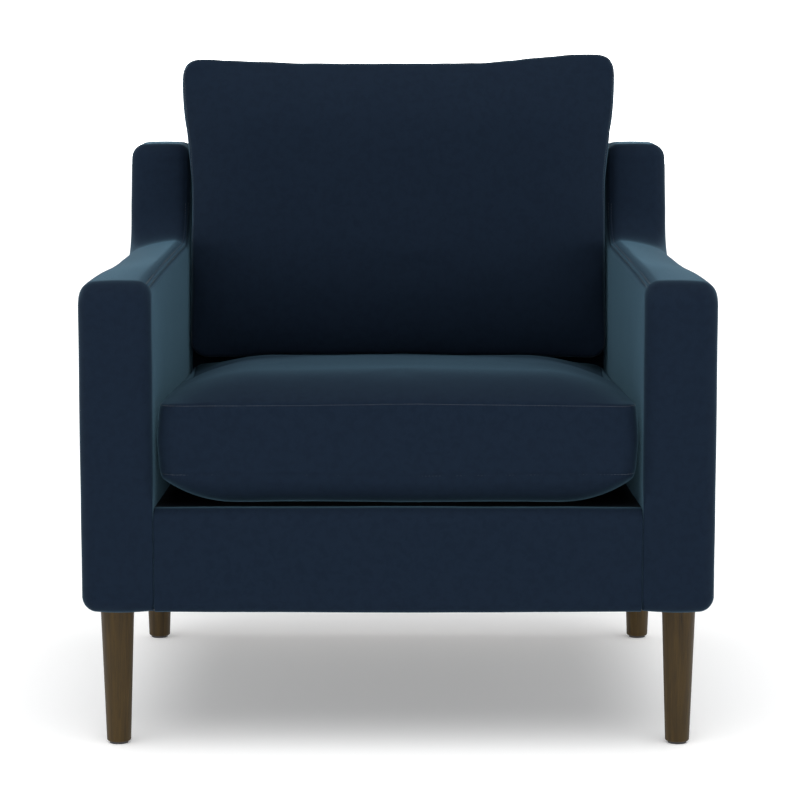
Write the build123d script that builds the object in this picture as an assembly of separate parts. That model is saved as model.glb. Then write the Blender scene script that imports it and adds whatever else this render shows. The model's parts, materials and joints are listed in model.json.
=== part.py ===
from build123d import *
import math
import os

# An upholstered armchair: two slab sides (arm and wing in one outline), a raked back and a
# sprung seat deck between them, four turned legs and two loose cushions.
# Millimetres. +Z up, the front faces -Y, and +X is on the right for someone facing the front.
# The origin is on the floor, under the centre of the overall box.

# Overall sizes
overall_width = 800.0
overall_depth = 850.0
arm_width = 92.0
arm_height = 600.0
wing_height = 735.0
base_height = 180.0  # underside of the base, which is also the length of a leg
back_rake = 10.2  # degrees from the vertical
back_thickness = 60.0  # measured along Y
wing_depth_at_top = 115.0
wing_flare = 0.075  # how much deeper the wing gets, for each unit further down

# Seat deck
deck_front_height = 312.0
deck_slope = 2.5  # degrees, down towards the back
deck_pad_thickness = 12.0

# Fabric, foam and board
cover_thickness = 2.0
front_foam = 18.0
top_foam = 22.0
wing_foam = 14.0
inner_foam = 14.0
outer_wadding_thickness = 6.0
panel_thickness = 4.0
seam_gap = 0.3  # between neighbouring covers
notch_gap = 0.5  # round a rail that passes through foam, board or cloth
arm_front_radius = 24.0
arm_wing_radius = 45.0
wing_front_radius = 20.0
wing_back_radius = 24.0
arm_edge_radius = 18.0
base_edge_radius = 20.0

# Timber
side_rail_height = 58.0
arm_rail_height = 35.0
wing_rail_height = 30.0
front_post_depth = 45.0
back_post_depth = 50.0
wing_post_depth = 30.0
front_rail_thickness = 32.0
back_rail_thickness = 32.0
front_rail_pad_thickness = 10.0
front_rail_top_width = 26.0  # width of the padded top of the front rail
back_lower_rail_height = 45.0
back_lower_rail_bottom = 300.0
back_top_rail_height = 50.0
inner_board_bottom = 262.0  # the inner face of a side is open below this
outer_board_rise = 20.0  # from the timber's underside to the outer board's lower edge
side_rail_chamfer = 10.0  # on the lower outer and rear edges, under the rounded cover
block_leg = 70.0
block_height = 50.0

# Springs and webbing
wire_radius = 1.9
clip_thickness = 1.2
clip_width = 16.0
clip_depth = 12.0
spring_count = 5
spring_side_gap = 69.0  # from the arm to the outermost spring
spring_width = 46.0
spring_pitch = 24.0  # between two cross runs
spring_bend_share = 0.45  # radius of the springs' bends, as a share of the pitch
strap_count = 5
strap_width = 50.0
strap_side_gap = 67.0  # from the arm to the outermost strap
strap_thickness = 2.0

# Legs
leg_side_inset = 41.0  # from the outer face of the arm to the leg's axis
front_leg_inset = 55.0  # from the front of the arms to the leg's axis
rear_leg_inset = 54.0  # from the back of the base to the leg's axis
leg_top_radius = 21.5
leg_bottom_radius = 15.5
leg_edge_radius = 2.0
bolt_radius = 4.0
bolt_depth_in_leg = 36.0
bolt_depth_in_rail = 22.0
bolt_hole_gap = 0.5
bolt_hole_reach = 4.0  # of the cover's hole, each way from its underside
insert_radius = 6.0
insert_flange_radius = 9.0
insert_flange_thickness = 1.6
insert_length = 24.0
glide_radius = 12.0
glide_thickness = 3.0
glide_nail_radius = 1.5
glide_nail_length = 14.0

# Screws
screw_radius = 2.2
screw_head_radius = 4.4
screw_length = 65.0
screw_side_offset = 24.0  # from the block's corner to the screw, along either rail
screw_head_sink = 8.0  # below the block's sloping face
screw_step = 7.0  # how far each of a block's two screws is above or below its middle
pocket_length = 24.0

# Seat cushion
cushion_side_gap = 5.0  # to the arm on either side
seat_front_inset = 2.0  # behind the front of the arms
seat_edge_height = 134.0
seat_crown = 38.0
seat_back_gap = 3.0
deck_gap = 0.5
seat_edge_radius = 26.0
cushion_cover_thickness = 1.5
seat_wrap_thickness = 15.0

# Back cushion
back_cushion_height = 430.0
back_cushion_thickness = 142.0
back_cushion_side_gap = 3.0
back_cushion_gap = 1.0  # to the inside back
cushion_rest_gap = 2.0  # between the two cushions
back_edge_radius = 30.0

# Zips
zip_length = 500.0
zip_recess_height = 16.0
zip_recess_depth = 6.5
zip_tape_height = 14.0
zip_tape_thickness = 1.0
zip_end_gap = 1.0
zip_bead_width = 3.0
zip_bead_height = 1.5
slider_length = 9.0
slider_width = 8.0
slider_height = 3.6
slider_gap = 0.4
pull_length = 16.0
pull_width = 5.0
pull_thickness = 1.2

# Values that follow from the sizes above
rake = math.radians(back_rake)
slope = math.radians(deck_slope)
front_y = -overall_depth / 2
arm_outer_x = overall_width / 2
arm_inner_x = arm_outer_x - arm_width
leg_centre_x = arm_outer_x - leg_side_inset
panel_outer_x = arm_outer_x - cover_thickness - outer_wadding_thickness
timber_outer_x = panel_outer_x - panel_thickness
panel_inner_x = arm_inner_x + cover_thickness + inner_foam
timber_inner_x = panel_inner_x + panel_thickness
centre_half_width = arm_inner_x - seam_gap
spring_spacing = (2 * (arm_inner_x - spring_side_gap) - spring_width) / (spring_count - 1)
strap_spacing = (2 * (arm_inner_x - strap_side_gap) - strap_width) / (strap_count - 1)
timber_bottom = base_height + cover_thickness
side_rail_top = timber_bottom + side_rail_height
front_rail_front = front_y + cover_thickness + front_rail_pad_thickness
front_rail_back = front_rail_front + front_rail_thickness
front_post_front = front_y + cover_thickness + front_foam
arm_rail_top = arm_height - cover_thickness - top_foam
arm_rail_bottom = arm_rail_top - arm_rail_height
wing_rail_top = wing_height - cover_thickness - top_foam
wing_rail_bottom = wing_rail_top - wing_rail_height
spring_centre_drop = cover_thickness + deck_pad_thickness + clip_thickness + wire_radius
rail_top_drop = spring_centre_drop + wire_radius + clip_thickness
back_rail_rear = cover_thickness + panel_thickness
back_rail_front = back_rail_rear + back_rail_thickness
webbing_front = back_rail_front + strap_thickness
post_rear = cover_thickness + outer_wadding_thickness

deck_rear_low = (
    deck_front_height - overall_depth * math.tan(slope) - cover_thickness - deck_pad_thickness
)

deck_frame = Plane(
    origin=(0, front_y, deck_front_height),
    x_dir=(1, 0, 0),
    z_dir=(0, math.sin(slope), math.cos(slope)),
)


def outer_back_y(z):
    """Y of the outside back at height z."""
    return overall_depth / 2 - (wing_height - z) * math.tan(rake)


def inside_back_y(z):
    """Y of the face that the back cushion leans on, at height z."""
    return outer_back_y(z) - back_thickness


def wing_front_y(z):
    """Y of the wing's front edge at height z."""
    return outer_back_y(z) - wing_depth_at_top - (wing_height - z) * wing_flare


def deck_z(y, drop=0):
    """Height at y of the seat deck's top, or of a plane that lies drop below it."""
    return deck_front_height - (y - front_y) * math.tan(slope) - drop / math.cos(slope)


def prism(points, x_low, x_high, radii=None):
    """A solid with the side outline points, each (y, z), from x_low to x_high."""
    if radii:
        outline = FilletPolyline(*points, radius=radii, close=True)
    else:
        outline = Polyline(*points, close=True)
    face = Plane.YZ.offset(x_low) * make_face(outline)
    return extrude(face, amount=x_high - x_low, dir=(1, 0, 0))


def side_block(x_low, x_high, y_low, y_high, z_low, z_high):
    """A box given by its limits."""
    return prism(
        [(y_low, z_low), (y_high, z_low), (y_high, z_high), (y_low, z_high)], x_low, x_high
    )


def side_outline(front, top, wing, back, bottom):
    """Corners of a slab side's outline, set in by the given amounts from each edge."""
    return [
        (front_y + front, bottom),
        (front_y + front, arm_height - top),
        (wing_front_y(arm_height - top) + wing, arm_height - top),
        (wing_front_y(wing_height - top) + wing, wing_height - top),
        (outer_back_y(wing_height - top) - back, wing_height - top),
        (outer_back_y(bottom) - back, bottom),
    ]


def soft_side(inset):
    """The upholstered outline of the right side, set in by inset, with rounded long edges."""
    radii = [
        base_edge_radius - inset,
        arm_front_radius - inset,
        arm_wing_radius + inset,
        wing_front_radius - inset,
        wing_back_radius - inset,
        base_edge_radius - inset,
    ]
    outline = side_outline(inset, inset, inset, inset, base_height + inset)
    slab = prism(outline, arm_inner_x + inset, arm_outer_x - inset, radii)
    rounded = [edge for face in slab.faces().filter_by(Axis.X) for edge in face.edges()]
    return fillet(rounded, arm_edge_radius - inset)


def timber_outline(bottom):
    """Outline of the framed and boarded part of a side."""
    return side_outline(
        cover_thickness + front_foam,
        cover_thickness + top_foam,
        cover_thickness + wing_foam,
        post_rear,
        bottom,
    )


def back_slab(rear, front, z_low, z_high, half_width):
    """A raked board of the back, between two depths measured forward from the outside."""
    return prism(
        [
            (outer_back_y(z_low) - front, z_low),
            (outer_back_y(z_low) - rear, z_low),
            (outer_back_y(z_high) - rear, z_high),
            (outer_back_y(z_high) - front, z_high),
        ],
        -half_width,
        half_width,
    )


def both_sides(node, solid):
    """The left and the right copy of a piece that is modelled on the right."""
    return {f"right_{node}": solid, f"left_{node}": mirror(solid, about=Plane.YZ)}


# Timber frame


def make_front_rail():
    """The rail under the front of the seat, which carries the springs' front ends."""
    return prism(
        [
            (front_rail_front, timber_bottom),
            (front_rail_back, timber_bottom),
            (front_rail_back, deck_z(front_rail_back, rail_top_drop)),
            (front_rail_front, deck_z(front_rail_front, rail_top_drop)),
        ],
        -timber_inner_x,
        timber_inner_x,
    )


def make_rear_rail():
    """The raked rail at the foot of the back, which carries the springs' rear ends."""
    front_top = deck_z(outer_back_y(deck_front_height) - back_rail_front, rail_top_drop)
    rear_top = deck_z(outer_back_y(deck_front_height) - back_rail_rear, rail_top_drop)
    return prism(
        [
            (outer_back_y(timber_bottom) - back_rail_front, timber_bottom),
            (outer_back_y(timber_bottom) - back_rail_rear, timber_bottom),
            (outer_back_y(rear_top) - back_rail_rear, rear_top),
            (outer_back_y(front_top) - back_rail_front, front_top),
        ],
        -timber_inner_x,
        timber_inner_x,
    )


def make_back_lower_rail():
    """The rail above the deck that holds the webbing's lower ends."""
    top = back_lower_rail_bottom + back_lower_rail_height
    return back_slab(
        back_rail_rear, back_rail_front, back_lower_rail_bottom, top, timber_inner_x
    )


def make_back_top_rail():
    """The rail at the top of the back."""
    bottom = wing_rail_top - back_top_rail_height
    return back_slab(back_rail_rear, back_rail_front, bottom, wing_rail_top, timber_inner_x)


def make_side_timbers():
    """The six timbers of the right side."""
    front = front_post_front
    post_back = front + front_post_depth
    rear_low = timber_bottom + side_rail_chamfer
    side_rail = prism(
        [
            (front, timber_bottom),
            (outer_back_y(timber_bottom) - post_rear - side_rail_chamfer, timber_bottom),
            (outer_back_y(rear_low) - post_rear, rear_low),
            (outer_back_y(side_rail_top) - post_rear, side_rail_top),
            (front, side_rail_top),
        ],
        timber_inner_x,
        timber_outer_x,
    )
    lower_outer = side_rail.edges().filter_by(Axis.Y).sort_by(Axis.X)[-2:].sort_by(Axis.Z)[0]
    side_rail = chamfer(lower_outer, side_rail_chamfer)
    front_post = side_block(
        timber_inner_x, timber_outer_x, front, post_back, side_rail_top, arm_rail_bottom
    )
    post_front = post_rear + back_post_depth
    arm_rail = prism(
        [
            (front, arm_rail_bottom),
            (outer_back_y(arm_rail_bottom) - post_front, arm_rail_bottom),
            (outer_back_y(arm_rail_top) - post_front, arm_rail_top),
            (front, arm_rail_top),
        ],
        timber_inner_x,
        timber_outer_x,
    )
    back_post = prism(
        [
            (outer_back_y(side_rail_top) - post_front, side_rail_top),
            (outer_back_y(side_rail_top) - post_rear, side_rail_top),
            (outer_back_y(wing_rail_bottom) - post_rear, wing_rail_bottom),
            (outer_back_y(wing_rail_bottom) - post_front, wing_rail_bottom),
        ],
        timber_inner_x,
        timber_outer_x,
    )
    wing_inset = cover_thickness + wing_foam
    wing_low = wing_front_y(arm_rail_top) + wing_inset
    wing_high = wing_front_y(wing_rail_bottom) + wing_inset
    wing_post = prism(
        [
            (wing_low, arm_rail_top),
            (wing_low + wing_post_depth, arm_rail_top),
            (wing_high + wing_post_depth, wing_rail_bottom),
            (wing_high, wing_rail_bottom),
        ],
        timber_inner_x,
        timber_outer_x,
    )
    wing_rail = prism(
        [
            (wing_high, wing_rail_bottom),
            (outer_back_y(wing_rail_bottom) - post_rear, wing_rail_bottom),
            (outer_back_y(wing_rail_top) - post_rear, wing_rail_top),
            (wing_front_y(wing_rail_top) + wing_inset, wing_rail_top),
        ],
        timber_inner_x,
        timber_outer_x,
    )
    return {
        "side_rail": side_rail,
        "front_post": front_post,
        "arm_rail": arm_rail,
        "back_post": back_post,
        "wing_post": wing_post,
        "wing_rail": wing_rail,
    }


def make_corner_block(corner_y, y_direction):
    """A triangular block in the right corner between a side rail and a cross rail."""
    outline = Polyline((0, 0), (0, block_leg), (-block_leg, 0), close=True)
    block = extrude(make_face(outline), amount=block_height)
    if y_direction < 0:
        block = mirror(block, about=Plane.XZ)
    return Pos(timber_inner_x, corner_y, timber_bottom) * block


def make_screw(head, direction):
    """A countersunk screw with its head's face at head, pointing along direction."""
    frame = Plane(origin=head, z_dir=direction)
    outline = Polyline(
        (0, 0),
        (screw_head_radius, 0),
        (screw_radius, screw_head_radius - screw_radius),
        (screw_radius, screw_length - screw_radius),
        (0, screw_length),
        close=True,
    )
    return frame * revolve(Plane.XZ * make_face(outline), axis=Axis.Z)


def make_pocket(head, direction):
    """The hole in a block through which a screw's head is driven in."""
    hole = Pos(0, 0, -pocket_length / 2) * Cylinder(screw_head_radius, pocket_length)
    return Plane(origin=head, z_dir=direction) * hole


def block_screw_places(corner_y, y_direction):
    """Head and direction of a block's screws: one into the cross rail, one into the side rail."""
    height = timber_bottom + block_height / 2
    depth = block_leg - screw_side_offset - screw_head_sink
    into_cross = (
        (timber_inner_x - screw_side_offset, corner_y + y_direction * depth, height - screw_step),
        (0, -y_direction, 0),
    )
    into_side = (
        (timber_inner_x - depth, corner_y + y_direction * screw_side_offset, height + screw_step),
        (1, 0, 0),
    )
    return [into_cross, into_side]


# Board, foam and covers of a side


def make_side_shells(rails):
    """Boards, foam, wadding and cover of the right side, notched round the cross rails."""
    skin = soft_side(0)
    void = soft_side(cover_thickness)
    outer_panel = prism(
        timber_outline(timber_bottom + outer_board_rise), timber_outer_x, panel_outer_x
    )
    inner_panel = prism(timber_outline(inner_board_bottom), panel_inner_x, timber_inner_x)
    framed = prism(timber_outline(timber_bottom), panel_inner_x, panel_outer_x)
    beyond_panel = side_block(
        panel_outer_x, arm_outer_x, front_y, overall_depth / 2, base_height, wing_height
    )
    inner_opening = side_block(
        arm_inner_x - cover_thickness,
        timber_inner_x,
        front_rail_back,
        outer_back_y(timber_bottom) - back_rail_front,
        timber_bottom,
        inner_board_bottom,
    )
    wadding = void & beyond_panel
    foam = void - beyond_panel - framed - inner_opening
    cover = skin - void - inner_opening
    for rail in rails:
        foam -= rail
        cover -= rail
        inner_panel -= rail
    return {
        "outer_panel": outer_panel,
        "inner_panel": inner_panel,
        "outer_wadding": wadding,
        "arm_foam": foam,
        "arm_cover": cover,
    }


def rail_notches():
    """The cross rails, each grown by the notch gap, to cut from what they pass through."""
    return [
        offset(rail, notch_gap, kind=Kind.INTERSECTION)
        for rail in (
            make_front_rail(),
            make_rear_rail(),
            make_back_lower_rail(),
            make_back_top_rail(),
        )
    ]


# Seat deck and front rail


def deck_layer(top, thickness, y_low, y_high):
    """A sheet that lies parallel to the deck, top below its surface."""
    return prism(
        [
            (y_low, deck_z(y_low, top + thickness)),
            (y_high, deck_z(y_high, top + thickness)),
            (y_high, deck_z(y_high, top)),
            (y_low, deck_z(y_low, top)),
        ],
        -centre_half_width,
        centre_half_width,
    )


def make_front_rail_pad():
    """Foam on the front and on the top edge of the front rail."""
    front = front_y + cover_thickness
    top_back = front_y + front_rail_top_width
    return prism(
        [
            (front, timber_bottom),
            (front_rail_front, timber_bottom),
            (front_rail_front, deck_z(front_rail_front, rail_top_drop)),
            (top_back, deck_z(top_back, rail_top_drop)),
            (top_back, deck_z(top_back, cover_thickness)),
            (front, deck_z(front, cover_thickness)),
        ],
        -centre_half_width,
        centre_half_width,
    )


def make_front_rail_cover():
    """Velvet over the front rail, turned under its bottom edge and over its top."""
    front = front_y + cover_thickness
    back = front_y + front_rail_top_width
    return prism(
        [
            (front_y, base_height),
            (back, base_height),
            (back, timber_bottom),
            (front, timber_bottom),
            (front, deck_z(front, cover_thickness)),
            (back, deck_z(back, cover_thickness)),
            (back, deck_z(back)),
            (front_y, deck_z(front_y)),
        ],
        -centre_half_width,
        centre_half_width,
    )


def make_deck_layers():
    """The deck's pad and its cloth, from the front rail's cover to the inside back."""
    y_low = front_y + front_rail_top_width + seam_gap
    y_high = inside_back_y(deck_rear_low) - seam_gap
    return {
        "deck_cloth": deck_layer(0, cover_thickness, y_low, y_high),
        "deck_pad": deck_layer(cover_thickness, deck_pad_thickness, y_low, y_high),
    }


def spring_ends():
    """Where the springs' first and last cross runs lie, along the deck."""
    pad_end = front_rail_top_width + seam_gap + rail_top_drop * math.sin(slope)
    front_end = pad_end / math.cos(slope) + clip_depth / 2
    rear_middle = (back_rail_rear + back_rail_front) / 2
    rear_end = outer_back_y(deck_rear_low) - rear_middle - front_y
    return front_end, rear_end / math.cos(slope) - clip_depth / 2


def make_spring():
    """One sinuous spring, centred on the deck's centre line."""
    start, end = spring_ends()
    runs = 2 * round((end - start) / spring_pitch / 2) + 1
    pitch = (end - start) / (runs - 1)
    side = spring_width / 2
    points = []
    for run in range(runs):
        first, last = (-side, side) if run % 2 == 0 else (side, -side)
        points.append((first, start + run * pitch))
        points.append((last, start + run * pitch))
    path = deck_frame * Pos(0, 0, -spring_centre_drop) * FilletPolyline(
        *points, radius=pitch * spring_bend_share
    )
    section = Plane(origin=path @ 0, z_dir=path % 0) * Circle(wire_radius)
    return sweep(section, path=path)


def make_clip(along):
    """A folded clip that holds a spring's cross run to a rail, along from the deck's front."""
    inner = 2 * wire_radius
    outer = inner + 2 * clip_thickness
    body = Box(clip_width, clip_depth, outer)
    slot = Pos(0, clip_thickness, 0) * Box(clip_width, clip_depth, inner)
    return deck_frame * Pos(0, along, -spring_centre_drop) * (body - slot)


def make_springs_and_clips():
    """All the springs, and a clip at each end of each one."""
    spring = make_spring()
    start, end = spring_ends()
    turned = Rot(0, 0, 180)
    front_clip = make_clip(start)
    rear_clip = deck_frame * turned * deck_frame.location.inverse() * make_clip(-end)
    springs = []
    clips = []
    for index in range(spring_count):
        x = (index - (spring_count - 1) / 2) * spring_spacing
        springs.append(Pos(x, 0, 0) * spring)
        clips.append(Pos(x, 0, 0) * front_clip)
        clips.append(Pos(x, 0, 0) * rear_clip)
    return {"seat_springs": Compound(children=springs), "spring_clips": Compound(children=clips)}


# Back


def make_webbing():
    """Straps up the back, from the lower rail to the top rail."""
    top = wing_rail_top
    straps = []
    for index in range(strap_count):
        x = (index - (strap_count - 1) / 2) * strap_spacing
        strap = back_slab(
            back_rail_front, webbing_front, back_lower_rail_bottom, top, strap_width / 2
        )
        straps.append(Pos(x, 0, 0) * strap)
    return Compound(children=straps)


def inside_back_outline(front, top, rear):
    """Outline of a layer of the inside back that reaches from the deck to the top."""
    drop = cover_thickness + deck_pad_thickness
    front_low = deck_z(outer_back_y(deck_rear_low) - front, drop)
    rear_low = deck_z(outer_back_y(deck_rear_low) - rear, drop)
    return [
        (outer_back_y(front_low) - front, front_low),
        (outer_back_y(rear_low) - rear, rear_low),
        (outer_back_y(top) - rear, top),
        (outer_back_y(top) - front, top),
    ]


def make_inside_back():
    """The pad of the inside back, and its cover, which turns over the top."""
    pad_front = back_thickness - cover_thickness
    pad_top = wing_height - cover_thickness
    pad = prism(
        inside_back_outline(pad_front, pad_top, webbing_front),
        -centre_half_width,
        centre_half_width,
    )
    top_pad = back_slab(
        back_rail_rear, webbing_front, wing_rail_top, pad_top, centre_half_width
    )
    skin = prism(
        inside_back_outline(back_thickness, wing_height, pad_front),
        -centre_half_width,
        centre_half_width,
    )
    top_skin = back_slab(cover_thickness, pad_front, pad_top, wing_height, centre_half_width)
    return {"inside_back_pad": pad + top_pad, "inside_back_cover": skin + top_skin}


def make_outside_back():
    """The board and the cover of the outside back."""
    board = back_slab(
        cover_thickness, back_rail_rear, timber_bottom, wing_height - cover_thickness,
        centre_half_width,
    )
    cover = back_slab(0, cover_thickness, base_height, wing_height, centre_half_width)
    turned_under = back_slab(
        cover_thickness, back_rail_front, base_height, timber_bottom, centre_half_width
    )
    return {"outside_back_panel": board, "outside_back_cover": cover + turned_under}


def make_dust_cover():
    """The thin cloth under the base."""
    y_low = front_y + front_rail_top_width + seam_gap
    y_high = outer_back_y(base_height) - back_rail_front - seam_gap
    return side_block(
        -centre_half_width, centre_half_width, y_low, y_high, base_height, timber_bottom
    )


# Legs


def leg_places():
    """Node prefix and (x, y) of each leg's axis."""
    front = front_y + front_leg_inset
    rear = outer_back_y(base_height) - rear_leg_inset
    return {
        "left_front": (-leg_centre_x, front),
        "right_front": (leg_centre_x, front),
        "left_rear": (-leg_centre_x, rear),
        "right_rear": (leg_centre_x, rear),
    }


def make_leg():
    """A turned, tapered leg on the Z axis, drilled for its bolt and for its glide's nail."""
    outline = FilletPolyline(
        (0, glide_thickness),
        (leg_bottom_radius, glide_thickness),
        (leg_top_radius, base_height),
        (0, base_height),
        radius=[0, leg_edge_radius, 0, 0],
        close=True,
    )
    leg = revolve(Plane.XZ * make_face(outline), axis=Axis.Z)
    return leg - make_bolt() - make_glide()


def make_bolt():
    """A hanger bolt on the Z axis, half in the leg and half in the side rail."""
    length = bolt_depth_in_leg + cover_thickness + bolt_depth_in_rail
    middle = base_height - bolt_depth_in_leg + length / 2
    return Pos(0, 0, middle) * Cylinder(bolt_radius, length)


def make_insert():
    """A flanged threaded sleeve, let into the underside of a side rail."""
    flange = Pos(0, 0, timber_bottom + insert_flange_thickness / 2) * Cylinder(
        insert_flange_radius, insert_flange_thickness
    )
    sleeve = Pos(0, 0, timber_bottom + insert_length / 2) * Cylinder(
        insert_radius, insert_length
    )
    return flange + sleeve


def make_glide():
    """A floor glide with its nail, on the Z axis."""
    disc = Pos(0, 0, glide_thickness / 2) * Cylinder(glide_radius, glide_thickness)
    nail = Pos(0, 0, glide_thickness + glide_nail_length / 2) * Cylinder(
        glide_nail_radius, glide_nail_length
    )
    return disc + nail


def at_legs(solid):
    """A copy of a solid at each leg's axis."""
    return [Pos(x, y, 0) * solid for x, y in leg_places().values()]


# Cushions


def seat_length():
    """Length of the seat cushion along the deck."""
    reach = inside_back_y(deck_rear_low) - seat_back_gap - front_y
    return reach / math.cos(slope) - seat_front_inset


def seat_form(inset):
    """The seat cushion's crowned body, set in by inset."""
    start = seat_front_inset + inset
    end = seat_front_inset + seat_length() - inset
    low = deck_gap + inset
    high = seat_edge_height - inset
    middle = (start + end) / 2
    base = Polyline((start, high), (start, low), (end, low), (end, high))
    crown = ThreePointArc((end, high), (middle, high + seat_crown), (start, high))
    half_width = arm_inner_x - cushion_side_gap - inset
    section = Plane.YZ.offset(-half_width) * make_face([*base.edges(), crown])
    body = extrude(section, amount=2 * half_width, dir=(1, 0, 0))
    body = fillet(body.edges(), max(seat_edge_radius - inset, cushion_cover_thickness))
    return Plane(deck_frame.origin, x_dir=(1, 0, 0), z_dir=deck_frame.z_dir) * body


def seat_top_z(y):
    """Height of the seat cushion's crowned top at y."""
    half = seat_length() / 2
    radius = (half**2 + seat_crown**2) / (2 * seat_crown)
    along = (y - front_y) / math.cos(slope) - seat_front_inset - half
    rise = math.sqrt(radius**2 - along**2) - (radius - seat_crown)
    return deck_z(y) + (seat_edge_height + rise) / math.cos(slope)


def back_cushion_bottom():
    """Height, on the inside back, of the plane of the back cushion's lower face."""
    reach = back_cushion_thickness + back_cushion_gap
    rear_y = front_y + seat_length()
    front_corner_y = inside_back_y(seat_top_z(rear_y)) - reach
    clear_at_front = seat_top_z(front_corner_y) - reach * math.tan(rake)
    rear_reach = inside_back_y(seat_top_z(rear_y)) - rear_y
    clear_at_rear = seat_top_z(rear_y) - rear_reach * math.tan(rake)
    return max(clear_at_front, clear_at_rear) + cushion_rest_gap


def back_cushion_frame():
    """Frame on the inside back at the cushion's foot: z up the rake, y to the back."""
    height = back_cushion_bottom()
    return Plane(
        origin=(0, inside_back_y(height), height),
        x_dir=(1, 0, 0),
        z_dir=(0, math.sin(rake), math.cos(rake)),
    )


def back_form(inset):
    """The back cushion's body, set in by inset."""
    body = Box(
        2 * (arm_inner_x - back_cushion_side_gap - inset),
        back_cushion_thickness - 2 * inset,
        back_cushion_height - 2 * inset,
    )
    body = fillet(body.edges(), back_edge_radius - inset)
    middle_y = -back_cushion_gap - back_cushion_thickness / 2
    return back_cushion_frame() * Pos(0, middle_y, back_cushion_height / 2) * body


def zip_pocket(frame, grow):
    """The recess for a zip, in a face whose outward normal is the frame's z."""
    depth = zip_recess_depth + grow
    pocket = Box(zip_length + 2 * grow, zip_recess_height + 2 * grow, 2 * depth)
    return frame * pocket


def make_zip(frame):
    """Zip tape with its closed coil, on the floor of the recess."""
    length = zip_length - 2 * zip_end_gap
    floor = -zip_recess_depth
    tape = Pos(0, 0, floor + zip_tape_thickness / 2) * Box(
        length, zip_tape_height, zip_tape_thickness
    )
    bead = Pos(0, 0, floor + zip_tape_thickness + zip_bead_height / 2) * Box(
        length, zip_bead_width, zip_bead_height
    )
    return frame * (tape + bead)


def make_zip_slider(frame):
    """The slider, over the coil at the recess's left end, with its pull laid along the zip."""
    floor = -zip_recess_depth + zip_tape_thickness + slider_gap
    left = -zip_length / 2 + 2 * zip_end_gap
    body = Pos(left + slider_length / 2, 0, floor + slider_height / 2) * Box(
        slider_length, slider_width, slider_height
    )
    channel = Pos(left + slider_length / 2, 0, floor + zip_bead_height / 2) * Box(
        slider_length, zip_bead_width + 2 * slider_gap, zip_bead_height + slider_gap
    )
    pull_floor = floor + slider_height - pull_thickness
    pull = Pos(left + slider_length + pull_length / 2, 0, pull_floor + pull_thickness / 2) * Box(
        pull_length, pull_width, pull_thickness
    )
    return frame * (body - channel + pull)


def seat_zip_frame():
    """The middle of the seat cushion's rear face, z pointing back."""
    along = seat_front_inset + seat_length()
    middle = deck_frame * Location((0, along, seat_edge_height / 2))
    return Plane(
        origin=middle.position, x_dir=(1, 0, 0), z_dir=(0, math.cos(slope), -math.sin(slope))
    )


def back_zip_frame():
    """The middle of the back cushion's lower face, z pointing down."""
    middle_y = -back_cushion_gap - back_cushion_thickness / 2
    middle = back_cushion_frame() * Location((0, middle_y, 0))
    return Plane(
        origin=middle.position, x_dir=(1, 0, 0), z_dir=(0, -math.sin(rake), -math.cos(rake))
    )


def make_seat_cushion():
    """Core, wrap, cover and zip of the seat cushion."""
    frame = seat_zip_frame()
    inside = seat_form(cushion_cover_thickness) - zip_pocket(frame, cushion_cover_thickness)
    core = seat_form(cushion_cover_thickness + seat_wrap_thickness)
    return {
        "seat_foam_core": core,
        "seat_fibre_wrap": inside - core,
        "seat_cushion_cover": seat_form(0) - zip_pocket(frame, 0) - inside,
        "seat_zip": make_zip(frame),
        "seat_zip_slider": make_zip_slider(frame),
    }


def make_back_cushion():
    """Filling, cover and zip of the back cushion."""
    frame = back_zip_frame()
    inside = back_form(cushion_cover_thickness) - zip_pocket(frame, cushion_cover_thickness)
    return {
        "back_cushion_filling": inside,
        "back_cushion_cover": back_form(0) - zip_pocket(frame, 0) - inside,
        "back_zip": make_zip(frame),
        "back_zip_slider": make_zip_slider(frame),
    }


# Assembly


def make_frame():
    """Timbers, blocks, screws and leg inserts, each drilled for what passes through it."""
    front_rail = make_front_rail()
    rear_rail = make_rear_rail()
    rear_corner_y = outer_back_y(timber_bottom) - back_rail_front
    front_block = make_corner_block(front_rail_back, 1)
    rear_block = make_corner_block(rear_corner_y, -1)
    places = block_screw_places(front_rail_back, 1) + block_screw_places(rear_corner_y, -1)
    right_screws = [make_screw(*place) for place in places]
    pockets = [make_pocket(*place) for place in places]
    screws = right_screws + [mirror(screw, about=Plane.YZ) for screw in right_screws]
    timbers = make_side_timbers()
    bolts = at_legs(make_bolt())
    inserts = [insert - bolt for insert, bolt in zip(at_legs(make_insert()), bolts)]
    right_rail = timbers.pop("side_rail")
    side_rails = both_sides("side_rail", right_rail)
    for node, rail in side_rails.items():
        for cutter in at_legs(make_insert()) + bolts + screws:
            rail -= cutter
        side_rails[node] = rail
    blocks = []
    for block in (front_block, rear_block):
        for cutter in right_screws + pockets:
            block -= cutter
        blocks += [block.solid(), mirror(block, about=Plane.YZ).solid()]
    for screw in screws:
        front_rail -= screw
        rear_rail -= screw
    nodes = {
        "front_rail": front_rail,
        "rear_rail": rear_rail,
        "back_lower_rail": make_back_lower_rail(),
        "back_top_rail": make_back_top_rail(),
        "corner_blocks": Compound(children=blocks),
        "frame_screws": Compound(children=screws),
        "hanger_bolts": Compound(children=bolts),
        "leg_inserts": Compound(children=inserts),
    }
    nodes.update(side_rails)
    for node, timber in timbers.items():
        nodes.update(both_sides(node, timber))
    return nodes


def make_sides():
    """Boards, foam, wadding and covers of both sides."""
    nodes = {}
    for node, shell in make_side_shells(rail_notches()).items():
        if node == "arm_cover":
            hole = Cylinder(bolt_radius + bolt_hole_gap, 2 * bolt_hole_reach)
            for x, y in leg_places().values():
                shell -= Pos(x, y, base_height) * hole
        nodes.update(both_sides(node, shell))
    return nodes


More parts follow.
